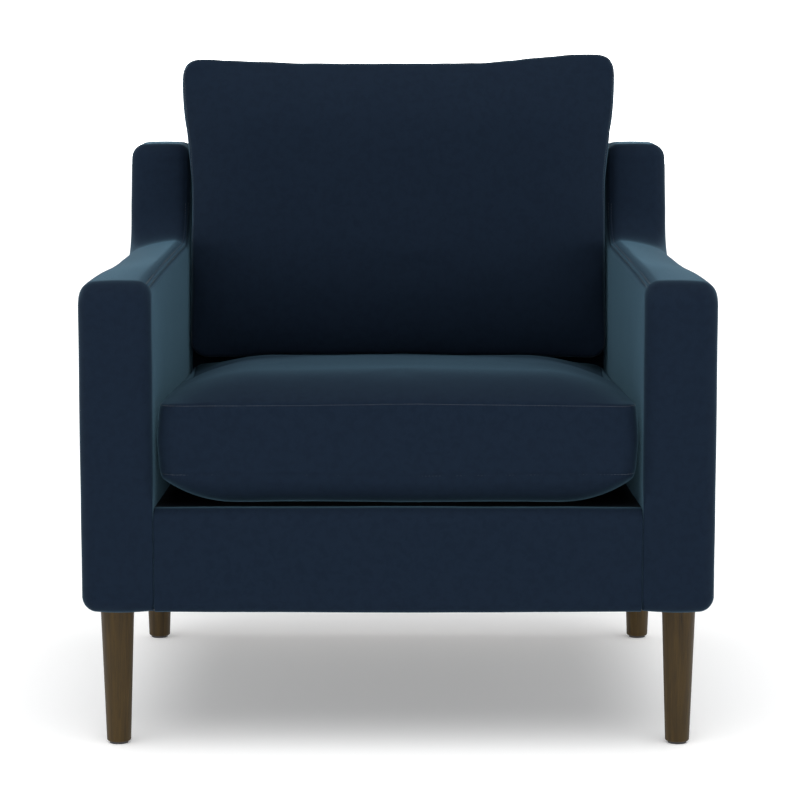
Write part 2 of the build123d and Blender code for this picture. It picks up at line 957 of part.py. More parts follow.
def make_legs():
    """The four legs and their glides."""
    leg = make_leg()
    nodes = {f"{place}_leg": Pos(x, y, 0) * leg for place, (x, y) in leg_places().items()}
    nodes["floor_glides"] = Compound(children=at_legs(make_glide()))
    return nodes


def make_armchair():
    """Every node of the armchair, by name."""
    nodes = make_frame()
    nodes.update(make_sides())
    nodes.update(make_legs())
    nodes.update(make_springs_and_clips())
    nodes.update(make_deck_layers())
    nodes.update(make_inside_back())
    nodes.update(make_outside_back())
    nodes.update(make_seat_cushion())
    nodes.update(make_back_cushion())
    nodes["front_rail_pad"] = make_front_rail_pad()
    nodes["front_rail_cover"] = make_front_rail_cover()
    nodes["back_webbing"] = make_webbing()
    nodes["dust_cover"] = make_dust_cover()
    return nodes


os.makedirs("parts", exist_ok=True)
for name, shape in make_armchair().items():
    export_step(shape, f"parts/{name}.step")
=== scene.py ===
"""Dresses the armchair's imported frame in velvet, with stuffed cushions, seams and a studio."""

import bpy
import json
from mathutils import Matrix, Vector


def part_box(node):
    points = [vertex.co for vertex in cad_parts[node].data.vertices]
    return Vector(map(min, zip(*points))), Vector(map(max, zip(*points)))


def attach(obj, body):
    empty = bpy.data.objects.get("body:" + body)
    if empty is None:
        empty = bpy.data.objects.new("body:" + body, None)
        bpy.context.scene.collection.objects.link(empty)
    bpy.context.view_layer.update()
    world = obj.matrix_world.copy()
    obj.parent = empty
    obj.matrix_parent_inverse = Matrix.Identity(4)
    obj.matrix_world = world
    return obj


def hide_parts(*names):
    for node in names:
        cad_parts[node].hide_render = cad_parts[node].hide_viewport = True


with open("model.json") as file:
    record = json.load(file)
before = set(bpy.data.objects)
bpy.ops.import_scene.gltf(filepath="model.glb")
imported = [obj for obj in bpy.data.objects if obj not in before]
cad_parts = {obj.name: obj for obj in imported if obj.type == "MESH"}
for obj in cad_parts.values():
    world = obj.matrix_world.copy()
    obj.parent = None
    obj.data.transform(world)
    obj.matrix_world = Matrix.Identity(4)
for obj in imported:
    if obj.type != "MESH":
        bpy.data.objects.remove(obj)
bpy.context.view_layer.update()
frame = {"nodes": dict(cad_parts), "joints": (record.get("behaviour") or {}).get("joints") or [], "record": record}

import json
import logging
import math
from collections.abc import Callable
from dataclasses import dataclass, field
from enum import Enum

import bmesh
import bpy
import numpy as np
from mathutils import Vector, noise
from mathutils.bvhtree import BVHTree
from mathutils.geometry import delaunay_2d_cdt

log = logging.getLogger("armchair")

MILLIMETRE = 0.001


# Sizes that the whole chair shares


@dataclass(frozen=True)
class ChairLayout:
    """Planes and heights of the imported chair, in metres."""

    front_y: float
    back_top_y: float
    outer_x: float
    inner_x: float
    base_z: float
    arm_z: float
    wing_z: float
    deck_z: float
    rake: float
    slope: float
    back_thickness: float = 0.060
    wing_depth_at_top: float = 0.115
    wing_flare: float = 0.075

    @property
    def arm_width(self) -> float:
        """The width of an arm."""
        return self.outer_x - self.inner_x

    @staticmethod
    def from_frame() -> "ChairLayout":
        """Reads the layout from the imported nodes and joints.

        Returns:
            The layout of this chair.
        """
        low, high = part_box("right_arm_cover")
        arm_rail_to_top = 24.0 * MILLIMETRE
        axes = {joint["name"]: joint["axis"] for joint in frame["joints"]}
        lift = axes["back_cushion_lift"]
        pull = axes["seat_cushion_slide"]
        return ChairLayout(
            front_y=low.y,
            back_top_y=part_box("outside_back_cover")[1].y,
            outer_x=high.x,
            inner_x=low.x,
            base_z=low.z,
            arm_z=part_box("right_arm_rail")[1].z + arm_rail_to_top,
            wing_z=high.z,
            deck_z=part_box("front_rail_cover")[1].z,
            rake=math.atan2(lift[1], lift[2]),
            slope=math.atan2(pull[2], -pull[1]),
        )

    def outer_back_y(self, z: float) -> float:
        """Y of the outside back at height z."""
        return self.back_top_y - (self.wing_z - z) * math.tan(self.rake)

    def inside_back_y(self, z: float) -> float:
        """Y of the face that the back cushion leans on, at height z."""
        return self.outer_back_y(z) - self.back_thickness

    def wing_front_y(self, z: float) -> float:
        """Y of the wing's front edge at height z."""
        return self.outer_back_y(z) - self.wing_depth_at_top - (self.wing_z - z) * self.wing_flare

    def deck_height(self, y: float) -> float:
        """Height of the seat deck at y."""
        return self.deck_z - (y - self.front_y) * math.tan(self.slope)


# Small numeric helpers


def smoothstep(low: float, high: float, value: np.ndarray) -> np.ndarray:
    """A smooth ramp from 0 at low to 1 at high.

    Args:
        low: Where the ramp starts.
        high: Where it ends.
        value: Where it is read.

    Returns:
        The ramp's height at each value.
    """
    t = np.clip((np.asarray(value, float) - low) / (high - low), 0.0, 1.0)
    return t * t * (3.0 - 2.0 * t)


def fabric_noise(points: np.ndarray, size: float, seed: float) -> np.ndarray:
    """Smooth noise from -1 to 1, read at each point.

    Args:
        points: Points, one a row.
        size: Size of the noise's features, in metres.
        seed: Shifts the noise, so that pieces differ.

    Returns:
        One value for each point.
    """
    shift = Vector((seed, seed * 1.7, -seed * 0.6))
    return np.array([noise.noise(Vector(point) / size + shift) for point in points])


def rounded_outline(
    corners: list[tuple[float, float]],
    radii: list[float],
    straight_step: float = 0.009,
    arc_step: float = 0.0025,
) -> np.ndarray:
    """A closed outline with rounded corners, counter-clockwise.

    Args:
        corners: The sharp corners, in order.
        radii: The radius at each corner.
        straight_step: Spacing of the points on straight stretches.
        arc_step: Spacing of the points on arcs.

    Returns:
        The outline's points, one a row.
    """
    arcs = []
    count = len(corners)
    for index in range(count):
        here = np.array(corners[index], float)
        before = np.array(corners[index - 1], float) - here
        after = np.array(corners[(index + 1) % count], float) - here
        before /= np.linalg.norm(before)
        after /= np.linalg.norm(after)
        opening = math.acos(float(np.clip(before @ after, -1.0, 1.0)))
        radius = radii[index]
        reach = radius / math.tan(opening / 2)
        bisector = (before + after) / np.linalg.norm(before + after)
        centre = here + bisector * radius / math.sin(opening / 2)
        start = (here + before * reach - centre) / radius
        end = (here + after * reach - centre) / radius
        turn = math.pi - opening
        steps = max(4, round(radius * turn / arc_step))
        share = np.linspace(0.0, 1.0, steps + 1)[:, None]
        swept = (np.sin((1 - share) * turn) * start + np.sin(share * turn) * end) / math.sin(turn)
        arcs.append(centre + radius * swept)
    points = []
    for index in range(count):
        arc = arcs[index]
        points.extend(arc)
        gap = arcs[(index + 1) % count][0] - arc[-1]
        steps = max(1, round(float(np.linalg.norm(gap)) / straight_step))
        points.extend(arc[-1] + gap * step / steps for step in range(1, steps))
    return np.array(points)


def outline_normals(points: np.ndarray) -> np.ndarray:
    """Outward unit normals of a closed counter-clockwise outline.

    Args:
        points: The outline's points.

    Returns:
        One normal for each point.
    """
    tangent = np.roll(points, -1, axis=0) - np.roll(points, 1, axis=0)
    normal = np.stack([tangent[:, 1], -tangent[:, 0]], axis=1)
    return normal / np.linalg.norm(normal, axis=1)[:, None]


def mesh_object(name: str, points: np.ndarray, faces: list[tuple[int, ...]]) -> bpy.types.Object:
    """A smooth-shaded mesh object whose faces point outwards.

    Args:
        name: The object's name.
        points: The vertices, one a row.
        faces: The faces' vertex numbers.

    Returns:
        The object, linked to the scene.
    """
    mesh = bpy.data.meshes.new(name)
    mesh.from_pydata([tuple(map(float, point)) for point in points], [], faces)
    work = bmesh.new()
    work.from_mesh(mesh)
    bmesh.ops.recalc_face_normals(work, faces=work.faces)
    work.to_mesh(mesh)
    work.free()
    mesh.polygons.foreach_set("use_smooth", [True] * len(mesh.polygons))
    piece = bpy.data.objects.new(name, mesh)
    bpy.context.scene.collection.objects.link(piece)
    return piece


def vertex_array(piece: bpy.types.Object) -> np.ndarray:
    """The piece's vertices as an array, one a row.

    Args:
        piece: The mesh object.

    Returns:
        The vertices' places.
    """
    flat = np.empty(len(piece.data.vertices) * 3)
    piece.data.vertices.foreach_get("co", flat)
    return flat.reshape(-1, 3)


def set_vertices(piece: bpy.types.Object, points: np.ndarray) -> None:
    """Moves the piece's vertices to these points."""
    piece.data.vertices.foreach_set("co", np.asarray(points, float).reshape(-1))
    piece.data.update()


def vertex_normals(piece: bpy.types.Object) -> np.ndarray:
    """The piece's vertex normals as an array, one a row.

    Args:
        piece: The mesh object.

    Returns:
        The normals.
    """
    flat = np.empty(len(piece.data.vertices) * 3)
    piece.data.vertex_normals.foreach_get("vector", flat)
    return flat.reshape(-1, 3)


def bake_modifiers(piece: bpy.types.Object) -> bpy.types.Object:
    """Turns the evaluated piece into its plain mesh and removes its modifiers.

    Args:
        piece: The object to bake.

    Returns:
        The same object.
    """
    graph = bpy.context.evaluated_depsgraph_get()
    mesh = bpy.data.meshes.new_from_object(piece.evaluated_get(graph), depsgraph=graph)
    piece.modifiers.clear()
    piece.data = mesh
    mesh.name = piece.name
    mesh.polygons.foreach_set("use_smooth", [True] * len(mesh.polygons))
    return piece


def subdivide(piece: bpy.types.Object) -> None:
    """Adds one applied level of smooth subdivision.

    Args:
        piece: The mesh object.
    """
    modifier = piece.modifiers.new("subdivision", "SUBSURF")
    modifier.levels = 1
    modifier.render_levels = 1
    bake_modifiers(piece)


# Shader groups that more than one finish uses


class ShaderPen:
    """Adds and links nodes in one node tree."""

    def __init__(self, tree: bpy.types.NodeTree) -> None:
        """Starts work on a tree."""
        self.tree = tree

    def add(self, kind: str, **values: object) -> bpy.types.Node:
        """Adds a node and sets its properties or input values.

        Args:
            kind: The node's Blender type name.
            values: Property values, or input defaults with spaces as underscores.

        Returns:
            The new node.
        """
        node = self.tree.nodes.new(kind)
        for name, value in values.items():
            if hasattr(node, name):
                setattr(node, name, value)
            else:
                node.inputs[name.replace("_", " ")].default_value = value
        return node

    def link(self, source: bpy.types.NodeSocket, target: bpy.types.NodeSocket) -> None:
        """Links an output to an input."""
        self.tree.links.new(source, target)

    def ramp(self, stops: list[tuple[float, tuple[float, float, float]]]) -> bpy.types.Node:
        """A colour ramp with these stops.

        Args:
            stops: Position and colour of each stop, from low to high.

        Returns:
            The ramp's node.
        """
        node = self.add("ShaderNodeValToRGB")
        elements = node.color_ramp.elements
        while len(elements) < len(stops):
            elements.new(0.5)
        for element, (position, colour) in zip(elements, stops):
            element.position = position
            element.color = (*colour, 1.0)
        return node


def new_shader_group(
    name: str, inputs: dict[str, float], outputs: dict[str, str]
) -> tuple[bpy.types.NodeTree, ShaderPen, bpy.types.Node, bpy.types.Node]:
    """An empty shader group with its sockets.

    Args:
        name: The group's name.
        inputs: Names and default values of its number inputs.
        outputs: Names and socket types of its outputs.

    Returns:
        The group, a pen for it, its input node and its output node.
    """
    tree = bpy.data.node_groups.new(name, "ShaderNodeTree")
    for label, value in inputs.items():
        socket = tree.interface.new_socket(label, in_out="INPUT", socket_type="NodeSocketFloat")
        socket.default_value = value
    for label, kind in outputs.items():
        tree.interface.new_socket(label, in_out="OUTPUT", socket_type=kind)
    pen = ShaderPen(tree)
    return tree, pen, pen.add("NodeGroupInput"), pen.add("NodeGroupOutput")


def build_nap_group() -> bpy.types.NodeTree:
    """The lie of a cut pile: broad brushed patches, and a fine pile height.

    Returns:
        The group, with outputs Patches, Fibres and Height.
    """
    tree, pen, entry, result = new_shader_group(
        "Brushed nap",
        {"Patch Scale": 7.0, "Fibre Scale": 900.0},
        {
            "Patches": "NodeSocketFloat",
            "Fibres": "NodeSocketFloat",
            "Height": "NodeSocketFloat",
        },
    )
    place = pen.add("ShaderNodeTexCoord")
    patches = pen.add("ShaderNodeTexNoise", Detail=3.0, Roughness=0.55, Distortion=0.6)
    pen.link(place.outputs["Object"], patches.inputs["Vector"])
    pen.link(entry.outputs["Patch Scale"], patches.inputs["Scale"])
    sharpen = pen.add("ShaderNodeMapRange", interpolation_type="SMOOTHSTEP")
    sharpen.inputs["From Min"].default_value = 0.3
    sharpen.inputs["From Max"].default_value = 0.7
    pen.link(patches.outputs["Fac"], sharpen.inputs["Value"])
    fibres = pen.add("ShaderNodeTexNoise", Detail=2.0, Roughness=0.7)
    pen.link(place.outputs["Object"], fibres.inputs["Vector"])
    pen.link(entry.outputs["Fibre Scale"], fibres.inputs["Scale"])
    medium = pen.add("ShaderNodeTexNoise", Scale=120.0, Detail=3.0, Roughness=0.6)
    pen.link(place.outputs["Object"], medium.inputs["Vector"])
    height = pen.add("ShaderNodeMath", operation="MULTIPLY_ADD")
    height.inputs[1].default_value = 0.5
    pen.link(medium.outputs["Fac"], height.inputs[0])
    pen.link(fibres.outputs["Fac"], height.inputs[2])
    pen.link(sharpen.outputs["Result"], result.inputs["Patches"])
    pen.link(fibres.outputs["Fac"], result.inputs["Fibres"])
    pen.link(height.outputs[0], result.inputs["Height"])
    return tree


def build_grain_group() -> bpy.types.NodeTree:
    """Straight timber grain along Z: long figure, and fine pores.

    Returns:
        The group, with outputs Figure and Pores.
    """
    tree, pen, entry, result = new_shader_group(
        "Straight grain",
        {"Figure Scale": 60.0, "Pore Scale": 420.0, "Stretch": 0.06},
        {"Figure": "NodeSocketFloat", "Pores": "NodeSocketFloat"},
    )
    place = pen.add("ShaderNodeTexCoord")
    along = pen.add("ShaderNodeCombineXYZ", X=1.0, Y=1.0)
    pen.link(entry.outputs["Stretch"], along.inputs["Z"])
    scaled = pen.add("ShaderNodeVectorMath", operation="MULTIPLY")
    pen.link(place.outputs["Object"], scaled.inputs[0])
    pen.link(along.outputs["Vector"], scaled.inputs[1])
    figure = pen.add("ShaderNodeTexNoise", Detail=4.0, Roughness=0.6, Distortion=0.8)
    pen.link(scaled.outputs["Vector"], figure.inputs["Vector"])
    pen.link(entry.outputs["Figure Scale"], figure.inputs["Scale"])
    pores = pen.add("ShaderNodeTexNoise", Detail=2.0, Roughness=0.8)
    pen.link(scaled.outputs["Vector"], pores.inputs["Vector"])
    pen.link(entry.outputs["Pore Scale"], pores.inputs["Scale"])
    pen.link(figure.outputs["Fac"], result.inputs["Figure"])
    pen.link(pores.outputs["Fac"], result.inputs["Pores"])
    return tree


def build_mottle_group() -> bpy.types.NodeTree:
    """Even mottling for board, foam, metal and plastic.

    Returns:
        The group, with outputs Mottle and Speckle.
    """
    tree, pen, entry, result = new_shader_group(
        "Mottle",
        {"Mottle Scale": 40.0, "Speckle Scale": 700.0},
        {"Mottle": "NodeSocketFloat", "Speckle": "NodeSocketFloat"},
    )
    place = pen.add("ShaderNodeTexCoord")
    for label, detail in (("Mottle", 4.0), ("Speckle", 1.0)):
        texture = pen.add("ShaderNodeTexNoise", Detail=detail, Roughness=0.6)
        pen.link(place.outputs["Object"], texture.inputs["Vector"])
        pen.link(entry.outputs[f"{label} Scale"], texture.inputs["Scale"])
        pen.link(texture.outputs["Fac"], result.inputs[label])
    return tree


def build_weave_group() -> bpy.types.NodeTree:
    """A plain weave: crossing threads along two of the object's axes.

    Returns:
        The group, with outputs Threads and Fade.
    """
    tree, pen, entry, result = new_shader_group(
        "Plain weave",
        {"Thread Scale": 260.0},
        {"Threads": "NodeSocketFloat", "Fade": "NodeSocketFloat"},
    )
    place = pen.add("ShaderNodeTexCoord")
    waves = []
    for direction in ("X", "Y", "Z"):
        wave = pen.add("ShaderNodeTexWave", bands_direction=direction, Detail=0.0)
        pen.link(place.outputs["Object"], wave.inputs["Vector"])
        pen.link(entry.outputs["Thread Scale"], wave.inputs["Scale"])
        waves.append(wave)
    first = pen.add("ShaderNodeMath", operation="MAXIMUM")
    pen.link(waves[0].outputs["Fac"], first.inputs[0])
    pen.link(waves[1].outputs["Fac"], first.inputs[1])
    both = pen.add("ShaderNodeMath", operation="ADD")
    pen.link(first.outputs[0], both.inputs[0])
    pen.link(waves[2].outputs["Fac"], both.inputs[1])
    fade = pen.add("ShaderNodeTexNoise", Scale=9.0, Detail=3.0)
    pen.link(place.outputs["Object"], fade.inputs["Vector"])
    pen.link(both.outputs[0], result.inputs["Threads"])
    pen.link(fade.outputs["Fac"], result.inputs["Fade"])
    return tree


# Finishes

Colour = tuple[float, float, float]


class Pattern(Enum):
    """The shader group that gives a finish its variation."""

    NAP = "nap"
    GRAIN = "grain"
    MOTTLE = "mottle"
    WEAVE = "weave"


@dataclass(frozen=True)
class Finish:
    """One finish: two colours, a pattern between them, and the surface's constants."""

    name: str
    pattern: Pattern
    dark: Colour
    light: Colour
    roughness: tuple[float, float]
    bump: float
    bump_distance: float
    metallic: float = 0.0
    specular: float = 0.5
    sheen: float = 0.0
    sheen_roughness: float = 0.4
    sheen_tint: Colour = (1.0, 1.0, 1.0)
    coat: float = 0.0
    scales: dict[str, float] = field(default_factory=dict)


VELVET = Finish(
    "Midnight velvet",
    Pattern.NAP,
    dark=(0.0050, 0.0104, 0.0208),
    light=(0.0059, 0.0121, 0.0238),
    roughness=(0.78, 0.92),
    bump=0.22,
    bump_distance=0.0006,
    specular=0.06,
    sheen=0.27,
    sheen_roughness=0.32,
    sheen_tint=(0.28, 0.56, 0.75),
    scales={"Patch Scale": 110.0, "Fibre Scale": 1100.0},
)
THREAD = Finish(
    "Navy thread",
    Pattern.MOTTLE,
    dark=(0.006, 0.012, 0.022),
    light=(0.012, 0.022, 0.038),
    roughness=(0.5, 0.65),
    bump=0.2,
    bump_distance=0.0002,
    sheen=0.3,
    scales={"Mottle Scale": 600.0, "Speckle Scale": 2500.0},
)
SMOKED_OAK = Finish(
    "Smoked oak",
    Pattern.GRAIN,
    dark=(0.012, 0.0070, 0.0016),
    light=(0.064, 0.037, 0.0068),
    roughness=(0.42, 0.60),
    bump=0.25,
    bump_distance=0.0004,
    specular=0.2,
    scales={"Figure Scale": 170.0, "Pore Scale": 900.0, "Stretch": 0.045},
)
BEECH = Finish(
    "Frame beech",
    Pattern.GRAIN,
    dark=(0.36, 0.23, 0.13),
    light=(0.60, 0.44, 0.28),
    roughness=(0.55, 0.75),
    bump=0.2,
    bump_distance=0.0005,
    scales={"Figure Scale": 45.0, "Pore Scale": 380.0, "Stretch": 0.08},
)
BOARD = Finish(
    "Fibreboard",
    Pattern.MOTTLE,
    dark=(0.22, 0.14, 0.08),
    light=(0.40, 0.29, 0.18),
    roughness=(0.75, 0.9),
    bump=0.3,
    bump_distance=0.0004,
    scales={"Mottle Scale": 30.0, "Speckle Scale": 900.0},
)
FOAM = Finish(
    "Foam",
    Pattern.MOTTLE,
    dark=(0.62, 0.56, 0.38),
    light=(0.84, 0.79, 0.60),
    roughness=(0.85, 0.95),
    bump=0.6,
    bump_distance=0.0008,
    scales={"Mottle Scale": 25.0, "Speckle Scale": 1200.0},
)
FIBRE = Finish(
    "Polyester fibre",
    Pattern.MOTTLE,
    dark=(0.66, 0.66, 0.64),
    light=(0.90, 0.90, 0.88),
    roughness=(0.85, 0.95),
    bump=0.7,
    bump_distance=0.0012,
    sheen=0.3,
    scales={"Mottle Scale": 60.0, "Speckle Scale": 500.0},
)
LINING = Finish(
    "Black lining cloth",
    Pattern.WEAVE,
    specular=0.08,
    dark=(0.003, 0.005, 0.008),
    light=(0.010, 0.014, 0.020),
    roughness=(0.8, 0.95),
    bump=0.5,
    bump_distance=0.0003,
    scales={"Thread Scale": 320.0},
)
WEBBING = Finish(
    "Elastic webbing",
    Pattern.WEAVE,
    dark=(0.03, 0.028, 0.026),
    light=(0.16, 0.14, 0.12),
    roughness=(0.75, 0.9),
    bump=0.6,
    bump_distance=0.0006,
    scales={"Thread Scale": 140.0},
)
ZINC = Finish(
    "Zinc-plated steel",
    Pattern.MOTTLE,
    dark=(0.42, 0.43, 0.45),
    light=(0.66, 0.67, 0.69),
    roughness=(0.28, 0.42),
    bump=0.05,
    bump_distance=0.0002,
    metallic=1.0,
    scales={"Mottle Scale": 90.0, "Speckle Scale": 900.0},
)
GLIDE = Finish(
    "Black nylon",
    Pattern.MOTTLE,
    dark=(0.012, 0.012, 0.012),
    light=(0.030, 0.030, 0.030),
    roughness=(0.45, 0.7),
    bump=0.15,
    bump_distance=0.0002,
    scales={"Mottle Scale": 120.0, "Speckle Scale": 900.0},
)
ZIP_TAPE = Finish(
    "Zip tape",
    Pattern.WEAVE,
    dark=(0.006, 0.010, 0.018),
    light=(0.020, 0.030, 0.046),
    roughness=(0.7, 0.85),
    bump=0.5,
    bump_distance=0.0002,
    scales={"Thread Scale": 900.0},
)
BLACK_METAL = Finish(
    "Black zip metal",
    Pattern.MOTTLE,
    dark=(0.018, 0.018, 0.020),
    light=(0.050, 0.050, 0.054),
    roughness=(0.3, 0.5),
    bump=0.05,
    bump_distance=0.0001,
    metallic=0.9,
    scales={"Mottle Scale": 300.0, "Speckle Scale": 1500.0},
)


class Paintbox:
    """Builds each finish's material once and hands it out."""

    PATTERN_OUTPUTS = {
        Pattern.NAP: ("Patches", "Height"),
        Pattern.GRAIN: ("Figure", "Pores"),
        Pattern.MOTTLE: ("Mottle", "Speckle"),
        Pattern.WEAVE: ("Fade", "Threads"),
    }

    def __init__(self) -> None:
        """Builds the shader groups."""
        self.groups = {
            Pattern.NAP: build_nap_group(),
            Pattern.GRAIN: build_grain_group(),
            Pattern.MOTTLE: build_mottle_group(),
            Pattern.WEAVE: build_weave_group(),
        }
        self.made: dict[str, bpy.types.Material] = {}

    def material(self, finish: Finish) -> bpy.types.Material:
        """The material of a finish.

        Args:
            finish: The finish to build or find.

        Returns:
            Its material.
        """
        if finish.name not in self.made:
            self.made[finish.name] = self._build(finish)
        return self.made[finish.name]

    def _build(self, finish: Finish) -> bpy.types.Material:
        """Builds a finish's node tree.

        Args:
            finish: The finish.

        Returns:
            The new material.
        """
        material = bpy.data.materials.new(finish.name)
        material.use_nodes = True
        pen = ShaderPen(material.node_tree)
        shader = material.node_tree.nodes["Principled BSDF"]
        shader.inputs["Metallic"].default_value = finish.metallic
        shader.inputs["Specular IOR Level"].default_value = finish.specular
        shader.inputs["Sheen Weight"].default_value = finish.sheen
        shader.inputs["Sheen Roughness"].default_value = finish.sheen_roughness
        shader.inputs["Sheen Tint"].default_value = (*finish.sheen_tint, 1.0)
        shader.inputs["Coat Weight"].default_value = finish.coat
        group = pen.add("ShaderNodeGroup", node_tree=self.groups[finish.pattern])
        for label, value in finish.scales.items():
            group.inputs[label].default_value = value
        broad, fine = self.PATTERN_OUTPUTS[finish.pattern]
        colours = pen.ramp([(0.28, finish.dark), (0.72, finish.light)])
        blend = pen.add("ShaderNodeMath", operation="MULTIPLY_ADD")
        blend.inputs[1].default_value = 0.35
        pen.link(group.outputs[fine], blend.inputs[0])
        weaken = pen.add("ShaderNodeMath", operation="MULTIPLY")
        weaken.inputs[1].default_value = 0.65
        pen.link(group.outputs[broad], weaken.inputs[0])
        pen.link(weaken.outputs[0], blend.inputs[2])
        pen.link(blend.outputs[0], colours.inputs["Fac"])
        pen.link(colours.outputs["Color"], shader.inputs["Base Color"])
        rough = pen.add("ShaderNodeMapRange")
        rough.inputs["To Min"].default_value = finish.roughness[0]
        rough.inputs["To Max"].default_value = finish.roughness[1]
        pen.link(group.outputs[fine], rough.inputs["Value"])
        pen.link(rough.outputs["Result"], shader.inputs["Roughness"])
        bump = pen.add("ShaderNodeBump", Strength=finish.bump, Distance=finish.bump_distance)
        pen.link(group.outputs[fine], bump.inputs["Height"])
        pen.link(bump.outputs["Normal"], shader.inputs["Normal"])
        return material

    def paint(self, piece: bpy.types.Object, finish: Finish) -> None:
        """Gives a piece one finish on all its material slots.

        Args:
            piece: The piece.
            finish: What it is made of.
        """
        material = self.material(finish)
        if not piece.material_slots:
            piece.data.materials.append(material)
        for place in piece.material_slots:
            place.material = material


# Geometry Nodes for what repeats


class RepeatTree:
    """A Geometry Nodes tree that sets one small shape along the edges of a path."""

    def __init__(self, name: str, head: "SmallShape") -> None:
        """Builds the tree.

        Args:
            name: The tree's name.
            head: The small shape that is repeated.
        """
        self.tree = bpy.data.node_groups.new(name, "GeometryNodeTree")
        self.sockets: dict[str, str] = {}
        self._socket("Geometry", "INPUT", "NodeSocketGeometry")
        self._socket("Spacing", "INPUT", "NodeSocketFloat")
        self._socket("Length", "INPUT", "NodeSocketFloat")
        self._socket("Thickness", "INPUT", "NodeSocketFloat")
        self._socket("Material", "INPUT", "NodeSocketMaterial")
        self._socket("Geometry", "OUTPUT", "NodeSocketGeometry")
        nodes, links = self.tree.nodes, self.tree.links
        entry = nodes.new("NodeGroupInput")
        result = nodes.new("NodeGroupOutput")
        curve = nodes.new("GeometryNodeMeshToCurve")
        spaced = nodes.new("GeometryNodeResampleCurve")
        spaced.mode = "LENGTH"
        along = nodes.new("GeometryNodeInputTangent")
        turn = nodes.new("FunctionNodeAlignEulerToVector")
        turn.axis = "X"
        place = nodes.new("GeometryNodeInstanceOnPoints")
        size = nodes.new("ShaderNodeCombineXYZ")
        links.new(entry.outputs["Length"], size.inputs["X"])
        links.new(entry.outputs["Thickness"], size.inputs["Y"])
        links.new(entry.outputs["Thickness"], size.inputs["Z"])
        solid = head.build(nodes, links)
        realize = nodes.new("GeometryNodeRealizeInstances")
        paint = nodes.new("GeometryNodeSetMaterial")
        links.new(entry.outputs["Geometry"], curve.inputs["Mesh"])
        links.new(curve.outputs["Curve"], spaced.inputs["Curve"])
        links.new(entry.outputs["Spacing"], spaced.inputs["Length"])
        links.new(spaced.outputs["Curve"], place.inputs["Points"])
        links.new(solid, place.inputs["Instance"])
        links.new(along.outputs["Tangent"], turn.inputs["Vector"])
        links.new(turn.outputs["Rotation"], place.inputs["Rotation"])
        links.new(size.outputs["Vector"], place.inputs["Scale"])
        links.new(place.outputs["Instances"], realize.inputs["Geometry"])
        links.new(realize.outputs["Geometry"], paint.inputs["Geometry"])
        links.new(entry.outputs["Material"], paint.inputs["Material"])
        links.new(paint.outputs["Geometry"], result.inputs["Geometry"])

    def _socket(self, label: str, side: str, kind: str) -> None:
        """Adds a socket and remembers its identifier.

        Args:
            label: The socket's name.
            side: INPUT or OUTPUT.
            kind: The socket's type.
        """
        socket = self.tree.interface.new_socket(label, in_out=side, socket_type=kind)
        if side == "INPUT":
            self.sockets[label] = socket.identifier

    def along(
        self,
        name: str,
        paths: list[np.ndarray],
        closed: bool,
        sizes: dict[str, float],
        material: bpy.types.Material,
    ) -> bpy.types.Object:
        """Repeats the small shape along paths and returns the plain mesh.

        Args:
            name: The new piece's name.
            paths: Each path's points, one a row.
            closed: Whether each path joins up.
            sizes: Values for the tree's number inputs.
            material: The shapes' material.

        Returns:
            The piece.
        """
        points, edges = [], []
        for path in paths:
            first = len(points)
            points.extend(tuple(map(float, point)) for point in path)
            last = len(points) - 1
            edges.extend((index, index + 1) for index in range(first, last))
            if closed:
                edges.append((last, first))
        mesh = bpy.data.meshes.new(name)
        mesh.from_pydata(points, edges, [])
        piece = bpy.data.objects.new(name, mesh)
        modifier = piece.modifiers.new("repeat", "NODES")
        modifier.node_group = self.tree
        for label, value in sizes.items():
            modifier[self.sockets[label]] = value
        modifier[self.sockets["Material"]] = material
        bpy.context.scene.collection.objects.link(piece)
        return bake_modifiers(piece)


class SmallShape(Enum):
    """The small shape that a repeat tree places, one unit long along X."""

    STITCH = "stitch"
    TOOTH = "tooth"
    STAPLE = "staple"

    def build(self, nodes: bpy.types.Nodes, links: bpy.types.NodeLinks) -> bpy.types.NodeSocket:
        """Adds the nodes that make the shape.

        Args:
            nodes: The tree's nodes.
            links: The tree's links.

        Returns:
            The geometry output to place.
        """
        if self is SmallShape.STITCH:
            solid = nodes.new("GeometryNodeMeshUVSphere")
            solid.inputs["Segments"].default_value = 6
            solid.inputs["Rings"].default_value = 4
            solid.inputs["Radius"].default_value = 0.5
        else:
            solid = nodes.new("GeometryNodeMeshCube")
            wide = 3.2 if self is SmallShape.TOOTH else 1.0
            solid.inputs["Size"].default_value = (1.0, wide, 1.0)
        smooth = nodes.new("GeometryNodeSetShadeSmooth")
        smooth.inputs["Shade Smooth"].default_value = self is SmallShape.STITCH
        links.new(solid.outputs["Mesh"], smooth.inputs["Geometry"])
        return smooth.outputs["Geometry"]


# Upholstered slabs


